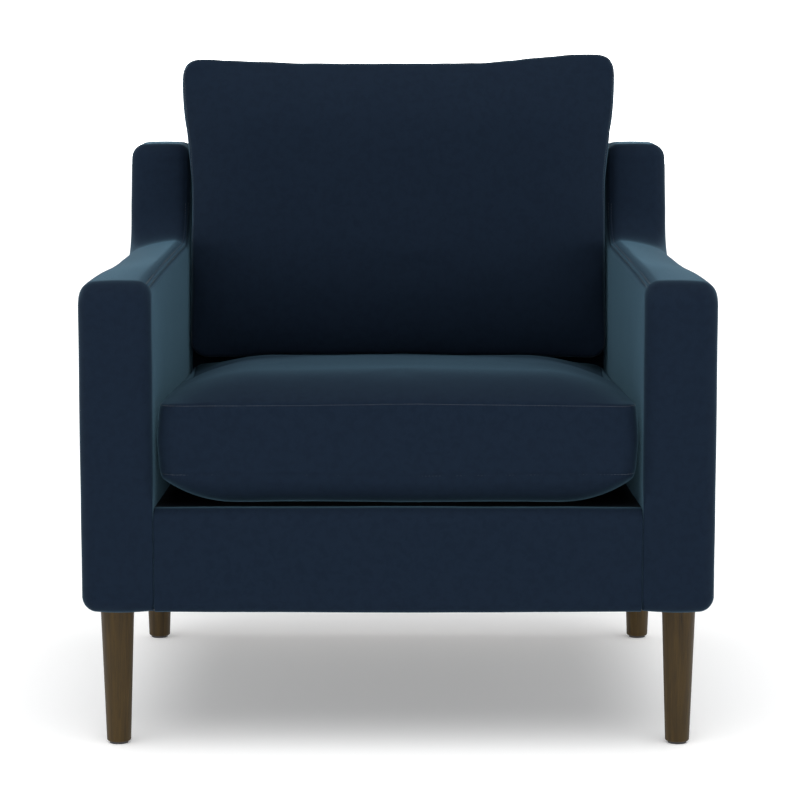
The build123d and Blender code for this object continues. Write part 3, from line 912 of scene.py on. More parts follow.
@dataclass
class SlabShape:
    """A padded slab: an outline in Y and Z, spread across X with soft long edges."""

    outline: np.ndarray
    inner_x: np.ndarray
    outer_x: np.ndarray
    inner_radius: np.ndarray
    outer_radius: np.ndarray
    outer_drop: np.ndarray | float = 0.0
    crown: float = 0.003
    puff: float = 0.003
    inner_seam: np.ndarray | None = None
    seed: float = 0.0
    ripple: float = 0.0004
    flat_steps: int = 9

    ARC_DEGREES = (0.0, 10.0, 20.0, 29.0, 34.0, 37.0, 40.0, 45.0, 50.0, 53.0, 56.0, 61.0, 70.0, 80.0, 90.0)
    SEAM_DEGREES = 45.0
    STITCH_DEGREES = (37.0, 53.0)
    BAND_HALF_DEGREES = 9.0

    def seam_relief(self, degrees: float) -> float:
        """Height of the double-stitched welt at an angle round the soft edge.

        Args:
            degrees: The angle, 0 at the slab's side and 90 at its rim.

        Returns:
            The height, for a seam of full strength.
        """
        away = abs(degrees - self.SEAM_DEGREES) / self.BAND_HALF_DEGREES
        band = 0.9 * MILLIMETRE * (1.0 - float(smoothstep(0.6, 0.95, np.array(away))))
        groove = -0.7 * MILLIMETRE * math.exp(-(((away - 1.1) / 0.28) ** 2))
        return band + groove

    def rings(self) -> tuple[list[np.ndarray], list[np.ndarray]]:
        """The rings of points across the slab, from its inner to its outer side.

        Returns:
            The rings, and the paths of the inner edge's two stitch lines.
        """
        normals = outline_normals(self.outline)
        rings, paths = [], []
        for side, degrees in [("inner", d) for d in self.ARC_DEGREES]:
            rings.append(self._arc_ring(normals, side, degrees))
            if degrees in self.STITCH_DEGREES:
                paths.append(rings[-1])
        for step in range(1, self.flat_steps):
            share = step / self.flat_steps
            low = self.inner_x + self.inner_radius
            high = self.outer_x - self.outer_radius
            x = low + (high - low) * share
            rings.append(self._ring(x, self._crown(x), normals))
        for side, degrees in [("outer", d) for d in reversed(self.ARC_DEGREES)]:
            rings.append(self._arc_ring(normals, side, degrees))
        return rings, paths

    def _crown(self, x: np.ndarray) -> np.ndarray:
        """How far the rim stands out at x.

        Args:
            x: A place across the slab for each outline point.

        Returns:
            The distance outwards from the outline.
        """
        across = (x - self.inner_x) / (self.outer_x - self.inner_x)
        arc = 1.0 - (2.0 * across - 1.0) ** 2
        return self.crown * arc - self.outer_drop * across**1.6

    def _ring(self, x: np.ndarray, out: np.ndarray, normals: np.ndarray) -> np.ndarray:
        """One ring at x, moved outwards from the outline."""
        plane = self.outline + normals * out[:, None]
        return np.column_stack([x, plane])

    def _arc_ring(self, normals: np.ndarray, side: str, degrees: float) -> np.ndarray:
        """One ring on the soft edge of a side.

        Args:
            normals: The outline's normals.
            side: inner or outer.
            degrees: The angle round the edge, 0 at the side and 90 at the rim.

        Returns:
            The ring's points.
        """
        angle = math.radians(degrees)
        radius = self.inner_radius if side == "inner" else self.outer_radius
        sewn = side == "inner" and self.inner_seam is not None
        relief = self.seam_relief(degrees) * (self.inner_seam if sewn else 0.0 * radius)
        reach = radius + relief
        inward = radius - reach * math.cos(angle)
        x = self.inner_x + inward if side == "inner" else self.outer_x - inward
        out = reach * math.sin(angle) - radius
        return self._ring(x, out + self._crown(x), normals)

    def build(self, name: str) -> tuple[bpy.types.Object, list[np.ndarray]]:
        """Builds the closed slab.

        Args:
            name: The piece's name.

        Returns:
            The piece, and the paths of the inner edge's two stitch lines.
        """
        rings, paths = self.rings()
        count = len(self.outline)
        points = [np.concatenate(rings)]
        faces = []
        for ring in range(len(rings) - 1):
            for index in range(count):
                after = (index + 1) % count
                faces.append(
                    (
                        ring * count + index,
                        ring * count + after,
                        (ring + 1) * count + after,
                        (ring + 1) * count + index,
                    )
                )
        used = len(rings) * count
        for ring, direction in ((0, -1.0), (len(rings) - 1, 1.0)):
            extra, cap = self._cap(rings[ring], direction, ring * count, used)
            points.append(extra)
            faces.extend(cap)
            used += len(extra)
        piece = mesh_object(name, np.concatenate(points), faces)
        if self.ripple:
            spots = vertex_array(piece)
            wave = fabric_noise(spots, 0.11, self.seed) + 0.4 * fabric_noise(spots, 0.045, self.seed)
            set_vertices(piece, spots + vertex_normals(piece) * (self.ripple * wave)[:, None])
        return piece, paths

    def _cap(
        self, ring: np.ndarray, direction: float, first: int, used: int
    ) -> tuple[np.ndarray, list[tuple[int, ...]]]:
        """Fills a side of the slab with a slightly padded panel.

        Args:
            ring: The side's edge.
            direction: The panel's outward direction along X.
            first: The number of the ring's first vertex.
            used: How many vertices there are already.

        Returns:
            The panel's inner points and its faces.
        """
        border = ring[:, 1:]
        inside = self._inside_points(border)
        every = np.concatenate([border, inside])
        count = len(border)
        edges = [(index, (index + 1) % count) for index in range(count)]
        flat = [Vector(point) for point in every]
        _, _, triangles, origins, _, _ = delaunay_2d_cdt(flat, edges, [], 1, 1e-7)
        numbers = [first + old[0] if old[0] < count else used + old[0] - count for old in origins]
        faces = [tuple(numbers[corner] for corner in triangle) for triangle in triangles]
        reach = distance_to_outline(inside, border)
        x_edge = nearest_values(inside, border, ring[:, 0])
        swell = self.puff * (1.0 - np.exp(-reach / 0.045))
        return np.column_stack([x_edge + direction * swell, inside]), faces

    @staticmethod
    def _inside_points(border: np.ndarray, step: float = 0.014) -> np.ndarray:
        """A grid of points inside an outline, clear of its edge.

        Args:
            border: The outline's points.
            step: The grid's spacing.

        Returns:
            The points.
        """
        low, high = border.min(axis=0), border.max(axis=0)
        ys = np.arange(low[0] + step / 2, high[0], step)
        zs = np.arange(low[1] + step / 2, high[1], step)
        grid = np.array([(y, z) for y in ys for z in zs])
        kept = grid[points_inside(grid, border)]
        return kept[distance_to_outline(kept, border) > step * 0.55]


def points_inside(points: np.ndarray, outline: np.ndarray) -> np.ndarray:
    """Which points lie inside a closed outline.

    Args:
        points: The points, one a row.
        outline: The outline's points.

    Returns:
        True for each point inside.
    """
    inside = np.zeros(len(points), bool)
    for start, end in zip(outline, np.roll(outline, -1, axis=0)):
        if start[1] == end[1]:
            continue
        spans = (start[1] > points[:, 1]) != (end[1] > points[:, 1])
        share = (points[:, 1] - start[1]) / (end[1] - start[1])
        inside ^= spans & (points[:, 0] < start[0] + share * (end[0] - start[0]))
    return inside


def distance_to_outline(points: np.ndarray, outline: np.ndarray) -> np.ndarray:
    """Distance from each point to the nearest of the outline's points."""
    gaps = np.linalg.norm(points[:, None, :] - outline[None, :, :], axis=2)
    return gaps.min(axis=1)


def nearest_values(points: np.ndarray, outline: np.ndarray, values: np.ndarray) -> np.ndarray:
    """Values of an outline carried inwards, weighted by closeness.

    Args:
        points: Where the values are wanted.
        outline: The outline's points.
        values: The outline's value at each point.

    Returns:
        One value for each point.
    """
    gaps = np.linalg.norm(points[:, None, :] - outline[None, :, :], axis=2)
    weights = 1.0 / (gaps + 0.004) ** 3
    return (weights * values).sum(axis=1) / weights.sum(axis=1)


def mirrored(piece: bpy.types.Object, name: str) -> bpy.types.Object:
    """A copy of a piece mirrored about the chair's middle plane.

    Args:
        piece: The piece to mirror.
        name: The copy's name.

    Returns:
        The copy, its faces pointing outwards.
    """
    copy = bpy.data.objects.new(name, piece.data.copy())
    bpy.context.scene.collection.objects.link(copy)
    points = vertex_array(copy)
    points[:, 0] *= -1.0
    set_vertices(copy, points)
    copy.data.flip_normals()
    return copy


@dataclass
class Stitcher:
    """Sews thread along seams."""

    paintbox: Paintbox
    pitch: float = 0.0044
    length: float = 0.0034
    thread: float = 0.0007

    def __post_init__(self) -> None:
        """Builds the stitch tree."""
        self.tree = RepeatTree("Stitches", SmallShape.STITCH)

    def sew(
        self, name: str, paths: list[np.ndarray], closed: bool, body: str
    ) -> bpy.types.Object:
        """Sews along paths and fastens the thread to a body.

        Args:
            name: The thread's name.
            paths: The seams' points.
            closed: Whether each seam joins up.
            body: The body that it moves with.

        Returns:
            The thread.
        """
        sizes = {"Spacing": self.pitch, "Length": self.length, "Thickness": self.thread}
        thread = self.tree.along(name, paths, closed, sizes, self.paintbox.material(THREAD))
        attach(thread, body)
        return thread


@dataclass
class UpholsteredSides:
    """The two arms with their wings, each in one tight cover."""

    layout: ChairLayout
    paintbox: Paintbox
    stitcher: Stitcher
    soft_radius: float = 0.019
    outer_soft_radius: float = 0.0185
    lower_radius: float = 0.002
    front_radius: float = 0.032
    base_radius: float = 0.0196
    wing_front_radius: float = 0.024
    wing_back_radius: float = 0.0204
    junction_radius: float = 0.075
    wing_lean: float = 0.003
    front_droop: float = 0.003
    outer_drop_front: float = 0.0015
    outer_drop_rear: float = 0.018
    cover_depth: float = 0.0025
    fleece_depth: float = 0.008
    fleece_inset: float = 0.016
    seam_gap: float = 0.0003

    def outline(self) -> np.ndarray:
        """The side's outline in Y and Z, its arm drooping a little towards the front.

        Returns:
            The outline's points.
        """
        layout = self.layout
        corners = [
            (layout.front_y, layout.base_z),
            (layout.outer_back_y(layout.base_z), layout.base_z),
            (layout.outer_back_y(layout.wing_z), layout.wing_z),
            (layout.wing_front_y(layout.wing_z), layout.wing_z),
            (layout.wing_front_y(layout.arm_z), layout.arm_z),
            (layout.front_y, layout.arm_z),
        ]
        radii = [
            self.base_radius,
            self.base_radius,
            self.wing_back_radius,
            self.wing_front_radius,
            self.junction_radius,
            self.front_radius,
        ]
        points = rounded_outline(corners, radii)
        along = 1.0 - smoothstep(0.0, 0.22, points[:, 0] - layout.front_y)
        upper = smoothstep(layout.arm_z - 0.06, layout.arm_z - 0.01, points[:, 1])
        points[:, 1] -= self.front_droop * along * upper
        return points

    def shape(
        self,
        inset: float = 0.0,
        from_inner: float = 0.0,
        from_outer: float = 0.0,
        outer_only: bool = False,
    ) -> SlabShape:
        """The right side's slab, with its crown, soft edges and seam.

        Args:
            inset: How far its outline lies under the cover's.
            from_inner: How far its inner side lies from the arm's inner side.
            from_outer: How far its outer side lies from the arm's outer side.
            outer_only: Whether it is a thin layer at the outer side, where the arm's top has fallen.

        Returns:
            The slab.
        """
        layout = self.layout
        outline = self.outline()
        normals = outline_normals(outline)
        y, z = outline[:, 0], outline[:, 1]
        from_front = y - layout.front_y
        behind = y - np.array([layout.outer_back_y(height) for height in z])
        at_front = 1.0 - smoothstep(0.0, 0.02, from_front)
        at_back = smoothstep(-0.02, 0.0, behind)
        at_base = 1.0 - smoothstep(0.0, 0.02, z - layout.base_z)
        below_rail = 1.0 - smoothstep(layout.deck_z + 0.004, layout.deck_z + 0.034, z)
        below_wing = 1.0 - smoothstep(layout.wing_z - 0.06, layout.wing_z - 0.02, z)
        below_corner = 1.0 - smoothstep(layout.wing_z - 0.020, layout.wing_z - 0.006, z)
        tight = np.maximum.reduce([at_front * below_rail, at_back * below_corner, at_base])
        arm_top = smoothstep(0.3, 0.9, normals[:, 1]) * below_wing
        front_share = 1.0 - smoothstep(0.0, 0.45, from_front)
        drop = self.outer_drop_rear + (self.outer_drop_front - self.outer_drop_rear) * front_share
        on_top = smoothstep(layout.arm_z - 0.045, layout.arm_z - 0.008, z)
        seam = on_top * smoothstep(0.010, 0.060, from_front) * (0.25 + 0.75 * arm_top)
        thickness = layout.arm_width - from_inner - from_outer
        widest_edge = 0.4 * thickness
        edge = min(self.soft_radius - inset, widest_edge)
        lower = min(self.lower_radius, edge)
        outer_edge = min(self.outer_soft_radius - inset, widest_edge)
        lean = self.wing_lean * smoothstep(-0.05, 0.25, y)
        fall = drop * arm_top
        sunk = inset + fall * float(outer_only)
        return SlabShape(
            outline - normals * sunk[:, None],
            inner_x=(layout.inner_x + from_inner) * np.ones(len(outline)),
            outer_x=layout.outer_x - from_outer - lean,
            inner_radius=edge + (lower - edge) * tight,
            outer_radius=outer_edge * np.ones(len(outline)),
            outer_drop=fall * float(not outer_only),
            inner_seam=seam * (1.0 - at_back) if inset == 0.0 else None,
            crown=0.0025,
            puff=0.0006,
            seed=3.1,
        )

    def build(self) -> None:
        """Builds, stitches and fastens both sides, and what pads them."""
        cover, paths = self.shape().build("right_arm_velvet")
        depth, fleece = self.cover_depth, self.fleece_depth
        padding, _ = self.shape(depth, depth, fleece).build("right_arm_padding")
        behind_fleece = self.layout.arm_width - fleece + self.seam_gap
        outer_layer = self.shape(self.fleece_inset, behind_fleece, depth, outer_only=True)
        side, _ = outer_layer.build("right_side_fleece")
        pieces = [
            (cover, "arm_velvet", "arm_cover", VELVET, "velvet"),
            (padding, "arm_padding", "arm_foam", FOAM, "foam"),
            (side, "side_fleece", "outer_wadding", FIBRE, "wadding"),
        ]
        for piece, label, node, finish, slot in pieces:
            for hand in ("right", "left"):
                part = piece if hand == "right" else mirrored(piece, f"left_{label}")
                self.paintbox.paint(part, finish)
                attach(part, "chair")
                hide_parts(f"{hand}_{node}")
        for hand, sign in (("right", 1.0), ("left", -1.0)):
            sewn = [self._top_run(path * (sign, 1.0, 1.0)) for path in paths]
            self.stitcher.sew(f"{hand}_arm_topstitch", sewn, False, "chair")
        log.info("arm covers: %d faces each", len(cover.data.polygons))

    def _top_run(self, path: np.ndarray) -> np.ndarray:
        """The part of a seam that runs over the arm and a little way up the wing.

        Args:
            path: The whole seam's points.

        Returns:
            The kept points, from front to rear.
        """
        layout = self.layout
        on_arm = (path[:, 2] > layout.arm_z - 0.030) & (path[:, 2] < layout.arm_z + 0.050)
        kept = path[on_arm & (path[:, 1] > layout.front_y + 0.030)]
        kept = kept[kept[:, 1] < layout.wing_front_y(layout.wing_z)]
        return kept[np.argsort(kept[:, 1])]


@dataclass
class FixedCovers:
    """The tight covers between the sides: front rail, inside back and outside back."""

    layout: ChairLayout
    paintbox: Paintbox
    seam_gap: float = 0.0002
    rail_top_pad: float = 0.020
    back_wrap: float = 0.0078
    back_overlap: float = 0.0006

    def build(self) -> None:
        """Builds the three covers."""
        self._front_rail()
        self._inside_back()
        self._outside_back()

    def _slab(
        self,
        name: str,
        corners: list[tuple[float, float]],
        radii: list[float],
        node: str,
        edge: float,
        puff: float,
        finish: Finish = VELVET,
        inset: float = 0.0,
    ) -> None:
        """Builds one cover across the chair and fastens it.

        Args:
            name: The piece's name.
            corners: Its outline in Y and Z.
            radii: The outline's radii.
            node: The node that it stands for.
            edge: The radius of its two ends.
            puff: How far its middle stands out.
            finish: What it is made of.
            inset: How far short of the arms its ends stop.
        """
        outline = rounded_outline(corners, radii, arc_step=0.0012)
        ones = np.ones(len(outline))
        half = self.layout.inner_x - self.seam_gap - inset
        shape = SlabShape(
            outline,
            inner_x=-half * ones,
            outer_x=half * ones,
            inner_radius=edge * ones,
            outer_radius=edge * ones,
            crown=puff,
            puff=0.0,
            flat_steps=60,
            seed=7.7,
            ripple=0.0004,
        )
        cover, _ = shape.build(name)
        self.paintbox.paint(cover, finish)
        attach(cover, "chair")
        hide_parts(node)
        log.info("%s: %d faces", cover.name, len(cover.data.polygons))

    def _front_rail(self) -> None:
        """The rail under the seat's front: its cover, and the pad that rounds its edges."""
        low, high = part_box("front_rail_cover")
        corners = [(low.y, low.z), (high.y, low.z), (high.y, high.z), (low.y, high.z)]
        self._slab(
            "front_rail_velvet",
            corners,
            radii=[0.012, 0.003, 0.003, 0.016],
            node="front_rail_cover",
            edge=0.0018,
            puff=0.001,
        )
        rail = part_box("front_rail")[0]
        cloth = 0.002
        pad = [
            (low.y + cloth, low.z + cloth),
            (rail.y, low.z + cloth),
            (rail.y, high.z - self.rail_top_pad),
            (high.y, high.z - self.rail_top_pad - 0.001),
            (high.y, high.z - cloth - 0.001),
            (low.y + cloth, high.z - cloth),
        ]
        self._slab(
            "front_rail_foam", pad, [0.008, 0.001, 0.001, 0.001, 0.001, 0.014], "front_rail_pad",
            0.0009, 0.0, FOAM, 0.0025,
        )

    def _inside_back(self) -> None:
        """The cover that the back cushion leans on, turned over the top of the back."""
        layout = self.layout
        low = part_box("inside_back_cover")[0].z
        depth = 0.056
        corners = [
            (layout.inside_back_y(low), low),
            (layout.inside_back_y(low) + depth, low),
            (layout.inside_back_y(layout.wing_z) + depth, layout.wing_z),
            (layout.inside_back_y(layout.wing_z), layout.wing_z),
        ]
        self._slab(
            "inside_back_velvet",
            corners,
            radii=[0.003, 0.003, 0.005, 0.005],
            node="inside_back_cover",
            edge=0.0018,
            puff=0.0,
            inset=-self.back_overlap,
        )

    def _outside_back(self) -> None:
        """The plain panel of the outside back, its velvet turned round the board's edges."""
        layout = self.layout
        depth = self.back_wrap
        low, high = layout.base_z, layout.wing_z
        corners = [
            (layout.outer_back_y(low) - depth, low),
            (layout.outer_back_y(low), low),
            (layout.outer_back_y(high), high),
            (layout.outer_back_y(high) - depth, high),
        ]
        self._slab(
            "outside_back_velvet",
            corners,
            radii=[0.0012, 0.0016, 0.0016, 0.0012],
            node="outside_back_cover",
            edge=0.0009,
            puff=0.003,
            inset=-self.back_overlap,
        )


# Loose cushions


@dataclass
class CushionSizes:
    """Sizes of a boxed cushion in its own frame: across, along and through."""

    half_width: float
    length: float
    thickness: float
    boxing: float
    base_crown: float
    corner_radius: float
    top_reach: float
    base_reach_across: float
    base_reach_along: float
    side_bulge: float
    pucker: float
    rear_fall: float = 0.0
    cell: float = 0.013
    start_shrink: float = 0.003
    cap: float = 0.0035

    @property
    def top_crown(self) -> float:
        """How far the upper panel rises above its seam."""
        return self.thickness - self.boxing - self.base_crown


class BoxedCushion:
    """A stuffed cushion of two panels and a boxing strip, sewn with two seams round it."""

    NEAR_SEAM = (0.0, 0.0022, 0.0050, 0.0095, 0.0165)

    def __init__(self, sizes: CushionSizes, to_chair: "CushionFrame", seed: float) -> None:
        """Starts a cushion.

        Args:
            sizes: Its sizes.
            to_chair: Its frame in the chair.
            seed: Shifts its creases, so that cushions differ.
        """
        self.sizes = sizes
        self.frame = to_chair
        self.seed = seed

    def _stations(self, length: float) -> np.ndarray:
        """Places of the panel's grid lines along one side, closer near both seams.

        Args:
            length: The side's length.

        Returns:
            The places, from 0 to the length.
        """
        near = np.array(self.NEAR_SEAM)
        clear = length - 2 * near[-1]
        steps = round(clear / self.sizes.cell)
        middle = near[-1] + clear * np.arange(1, steps) / steps
        return np.concatenate([near, middle, (length - near)[::-1]])

    def local_mesh(self) -> tuple[np.ndarray, list[tuple[int, ...]], dict[str, list[int]]]:
        """Points and faces in the cushion's own frame, before it is shaped.

        Returns:
            The points, the faces, and the vertex numbers of each seam.
        """
        sizes = self.sizes
        across = self._stations(2 * sizes.half_width) - sizes.half_width
        along = self._stations(sizes.length)
        columns, rows = len(across), len(along)
        points, faces = [], []
        low_seam = sizes.base_crown
        high_seam = sizes.base_crown + sizes.boxing
        for level, rise, seam in ((0, -sizes.base_crown, low_seam), (1, sizes.top_crown, high_seam)):
            for b in along:
                for a in across:
                    edge_a = sizes.half_width - abs(a)
                    edge_b = min(b, sizes.length - b)
                    flat_a, flat_b = self._round_corner(a, b)
                    height = seam + rise * self._crown(level, edge_a, edge_b)
                    points.append((flat_a, flat_b, height - level * self._fall(b)))
            base = level * columns * rows
            for row in range(rows - 1):
                for column in range(columns - 1):
                    here = base + row * columns + column
                    faces.append((here, here + 1, here + 1 + columns, here + columns))
        rim = self._rim(columns, rows)
        seams = {"lower": rim, "upper": [columns * rows + index for index in rim]}
        rings = [seams["lower"]]
        heights = self._boxing_heights()
        flat = np.array([points[index][:2] for index in rim])
        for height in heights:
            rings.append(list(range(len(points), len(points) + len(rim))))
            points.extend((a, b, low_seam + height) for a, b in flat)
        rings.append(seams["upper"])
        for lower, upper in zip(rings, rings[1:]):
            for index in range(len(rim)):
                after = (index + 1) % len(rim)
                faces.append((lower[index], lower[after], upper[after], upper[index]))
        self.rings = rings
        return np.array(points), faces, seams

    def _boxing_heights(self) -> list[float]:
        """Heights of the boxing's rings above the lower seam.

        Returns:
            The heights, from low to high.
        """
        near = [gap for gap in self.NEAR_SEAM if gap > 0]
        boxing = self.sizes.boxing
        clear = boxing - 2 * near[-1]
        steps = max(2, round(clear / self.sizes.cell))
        middle = [near[-1] + clear * step / steps for step in range(1, steps)]
        return near + middle + [boxing - gap for gap in reversed(near)]

    def _crown(self, level: int, edge_a: float, edge_b: float) -> float:
        """Share of a panel's full rise at these distances from its seams.

        Args:
            level: 1 for the upper panel and 0 for the lower.
            edge_a: Distance from the nearer side seam.
            edge_b: Distance from the nearer front or rear seam.

        Returns:
            The share, from 0 to 1.
        """
        sizes = self.sizes
        if level:
            across = arch(edge_a, sizes.top_reach, 0.8)
            return across * arch(edge_b, sizes.top_reach, 0.8)
        across = arch(edge_a, sizes.base_reach_across, 0.6)
        return across * arch(edge_b, sizes.base_reach_along, 0.6)

    def _fall(self, b: float) -> float:
        """How far the upper panel sinks towards the rear, where it is sat on.

        Args:
            b: Distance along the cushion from its front seam.

        Returns:
            The depth.
        """
        share = b / self.sizes.length
        away = min(1.0, (self.sizes.length - b) / self.sizes.top_reach)
        return self.sizes.rear_fall * float(smoothstep(0.3, 0.9, share)) * away

    def _round_corner(self, a: float, b: float) -> tuple[float, float]:
        """Moves a grid point so that the panel's corners are round.

        Args:
            a: Its place across, from the middle.
            b: Its place along, from the front seam.

        Returns:
            The moved place.
        """
        radius = self.sizes.corner_radius
        half_length = self.sizes.length / 2
        centred = b - half_length
        past_a = abs(a) - (self.sizes.half_width - radius)
        past_b = abs(centred) - (half_length - radius)
        if past_a <= 0 or past_b <= 0:
            return a, b
        round_a = past_a * math.sqrt(1.0 - past_b**2 / (2 * radius**2))
        round_b = past_b * math.sqrt(1.0 - past_a**2 / (2 * radius**2))
        new_a = math.copysign(self.sizes.half_width - radius + round_a, a)
        new_b = half_length + math.copysign(half_length - radius + round_b, centred)
        return new_a, new_b

    @staticmethod
    def _rim(columns: int, rows: int) -> list[int]:
        """Vertex numbers round a panel's edge, in order.

        Args:
            columns: Grid lines across.
            rows: Grid lines along.

        Returns:
            The numbers.
        """
        bottom = list(range(columns))
        right = [row * columns + columns - 1 for row in range(1, rows)]
        top = [(rows - 1) * columns + column for column in range(columns - 2, -1, -1)]
        left = [row * columns for row in range(rows - 2, 0, -1)]
        return bottom + right + top + left

    def shape(self, points: np.ndarray) -> np.ndarray:
        """Gives the plain cushion its bulge at the boxing strip.

        Args:
            points: The points in the cushion's own frame.

        Returns:
            The shaped points.
        """
        sizes = self.sizes
        shaped = points.copy()
        for ring in self.rings[1:-1]:
            flat = shaped[ring][:, :2]
            out = outline_normals(flat)
            height = (shaped[ring][:, 2] - sizes.base_crown) / sizes.boxing
            bulge = sizes.side_bulge * (1.0 - (2.0 * height - 1.0) ** 2)
            shaped[ring, :2] = flat + out * bulge[:, None]
        return shaped

    def inflate(self, piece: bpy.types.Object, pressure: float = 4.0) -> None:
        """Fills the cushion with a short cloth simulation and keeps the capped result.

        Args:
            piece: The cushion, in the chair's frame.
            pressure: The filling's pressure.
        """
        start = vertex_array(piece)
        normals = vertex_normals(piece)
        set_vertices(piece, start - normals * self.sizes.start_shrink)
        modifier = piece.modifiers.new("filling", "CLOTH")
        settings = modifier.settings
        settings.quality = 6
        settings.mass = 0.25
        settings.tension_stiffness = 30.0
        settings.compression_stiffness = 30.0
        settings.shear_stiffness = 12.0
        settings.bending_stiffness = 1.5
        settings.use_pressure = True
        settings.uniform_pressure_force = pressure
        settings.effector_weights.gravity = 0.0
        modifier.collision_settings.use_collision = False
        modifier.collision_settings.use_self_collision = False
        last_frame = 20
        modifier.point_cache.frame_start = 1
        modifier.point_cache.frame_end = last_frame
        scene = bpy.context.scene
        for number in range(1, last_frame + 1):
            scene.frame_set(number)
        graph = bpy.context.evaluated_depsgraph_get()
        result = piece.evaluated_get(graph)
        flat = np.empty(len(result.data.vertices) * 3)
        result.data.vertices.foreach_get("co", flat)
        filled = flat.reshape(-1, 3)
        piece.modifiers.clear()
        scene.frame_set(1)
        moved = self._same_extent(filled, start) - start
        length = np.linalg.norm(moved, axis=1)
        limit = self.sizes.cap
        kept = limit * np.tanh(length / limit) / np.maximum(length, 1e-9)
        set_vertices(piece, start + moved * kept[:, None])

    def _same_extent(self, filled: np.ndarray, start: np.ndarray) -> np.ndarray:
        """The filled points, stretched in the cushion's frame to their first extent.

        Args:
            filled: The points after filling.
            start: The points before it.

        Returns:
            The stretched points.
        """
        after, before = self.frame.read(filled), self.frame.read(start)
        low, high = before.min(axis=0), before.max(axis=0)
        share = (after - after.min(axis=0)) / (after.max(axis=0) - after.min(axis=0))
        return self.frame.place(low + share * (high - low))

    def gather(self, piece: bpy.types.Object, seams: dict[str, list[int]]) -> None:
        """Pulls the cloth in at the seams, with small uneven puckers beside them.

        Args:
            piece: The filled cushion.
            seams: The vertex numbers of each seam.
        """
        points = vertex_array(piece)
        normals = vertex_normals(piece)
        rim = np.concatenate([points[ring] for ring in seams.values()])
        tree = BVHTree.FromPolygons([Vector(p) for p in rim], [(i, i, i) for i in range(len(rim))])
        away = np.array([tree.find_nearest(Vector(point))[3] or 0.0 for point in points])
        fold = fabric_noise(points * (1.0, 1.0, 0.6), 0.020, self.seed)
        pucker = self.sizes.pucker * fold * np.exp(-((away / 0.016) ** 2))
        valley = -1.3 * MILLIMETRE * np.exp(-((away / 0.0020) ** 2))
        lip = 0.3 * MILLIMETRE * np.exp(-(((away - 0.0050) / 0.0028) ** 2))
        broad = 0.0016 * fabric_noise(points, 0.16, self.seed + 5.0)
        out = pucker + valley + lip + broad
        set_vertices(piece, points + normals * out[:, None])


@dataclass(frozen=True)
class CushionFrame:
    """Where a cushion's own frame lies in the chair."""

    origin: Vector
    across: Vector
    along: Vector
    through: Vector

    def place(self, points: np.ndarray) -> np.ndarray:
        """Points of the cushion's own frame, in the chair's."""
        axes = np.array([self.across, self.along, self.through])
        return points @ axes + np.array(self.origin)

    def read(self, points: np.ndarray) -> np.ndarray:
        """Points of the chair, in the cushion's own frame."""
        axes = np.array([self.across, self.along, self.through])
        return (points - np.array(self.origin)) @ axes.T


def arch(distance: float, reach: float, power: float) -> float:
    """A rise from 0 at a seam to 1 at reach and beyond.

    Args:
        distance: Distance from the seam.
        reach: Where the rise is complete.
        power: 1 for an even swell, and less for a steeper start.

    Returns:
        The share of the rise.
    """
    return math.sin(math.pi / 2 * min(1.0, distance / reach)) ** power


def soft_limit(values: np.ndarray, limit: float, softness: float = 0.004) -> np.ndarray:
    """Keeps values under a limit, easing into it.

    Args:
        values: The values.
        limit: Their upper limit.
        softness: Over how much of the way they ease.

    Returns:
        The limited values.
    """
    over = (values - (limit - softness)) / softness
    eased = limit - softness + softness * (1.0 - np.exp(-np.maximum(over, 0.0)))
    return np.where(over > 0.0, eased, values)


@dataclass
class ZipRecess:
    """The sunk slot in a cushion's boxing, where its zip lies."""

    frame_axes: CushionFrame
    half_length: float
    half_height: float = 0.008
    depth: float = 0.0078

    def press(self, points: np.ndarray) -> np.ndarray:
        """Sinks the points that lie over the zip.

        Args:
            points: The cushion's points, in the chair's frame.

        Returns:
            The points, with the slot pressed in.
        """
        local = self.frame_axes.read(points)
        over = np.abs(local[:, 0]) < self.half_length
        near = (np.abs(local[:, 1]) < self.half_height) & (local[:, 2] > -0.03)
        sunk = np.minimum(local[:, 2], -self.depth)
        local[:, 2] = np.where(over & near, sunk, local[:, 2])
        return self.frame_axes.place(local)


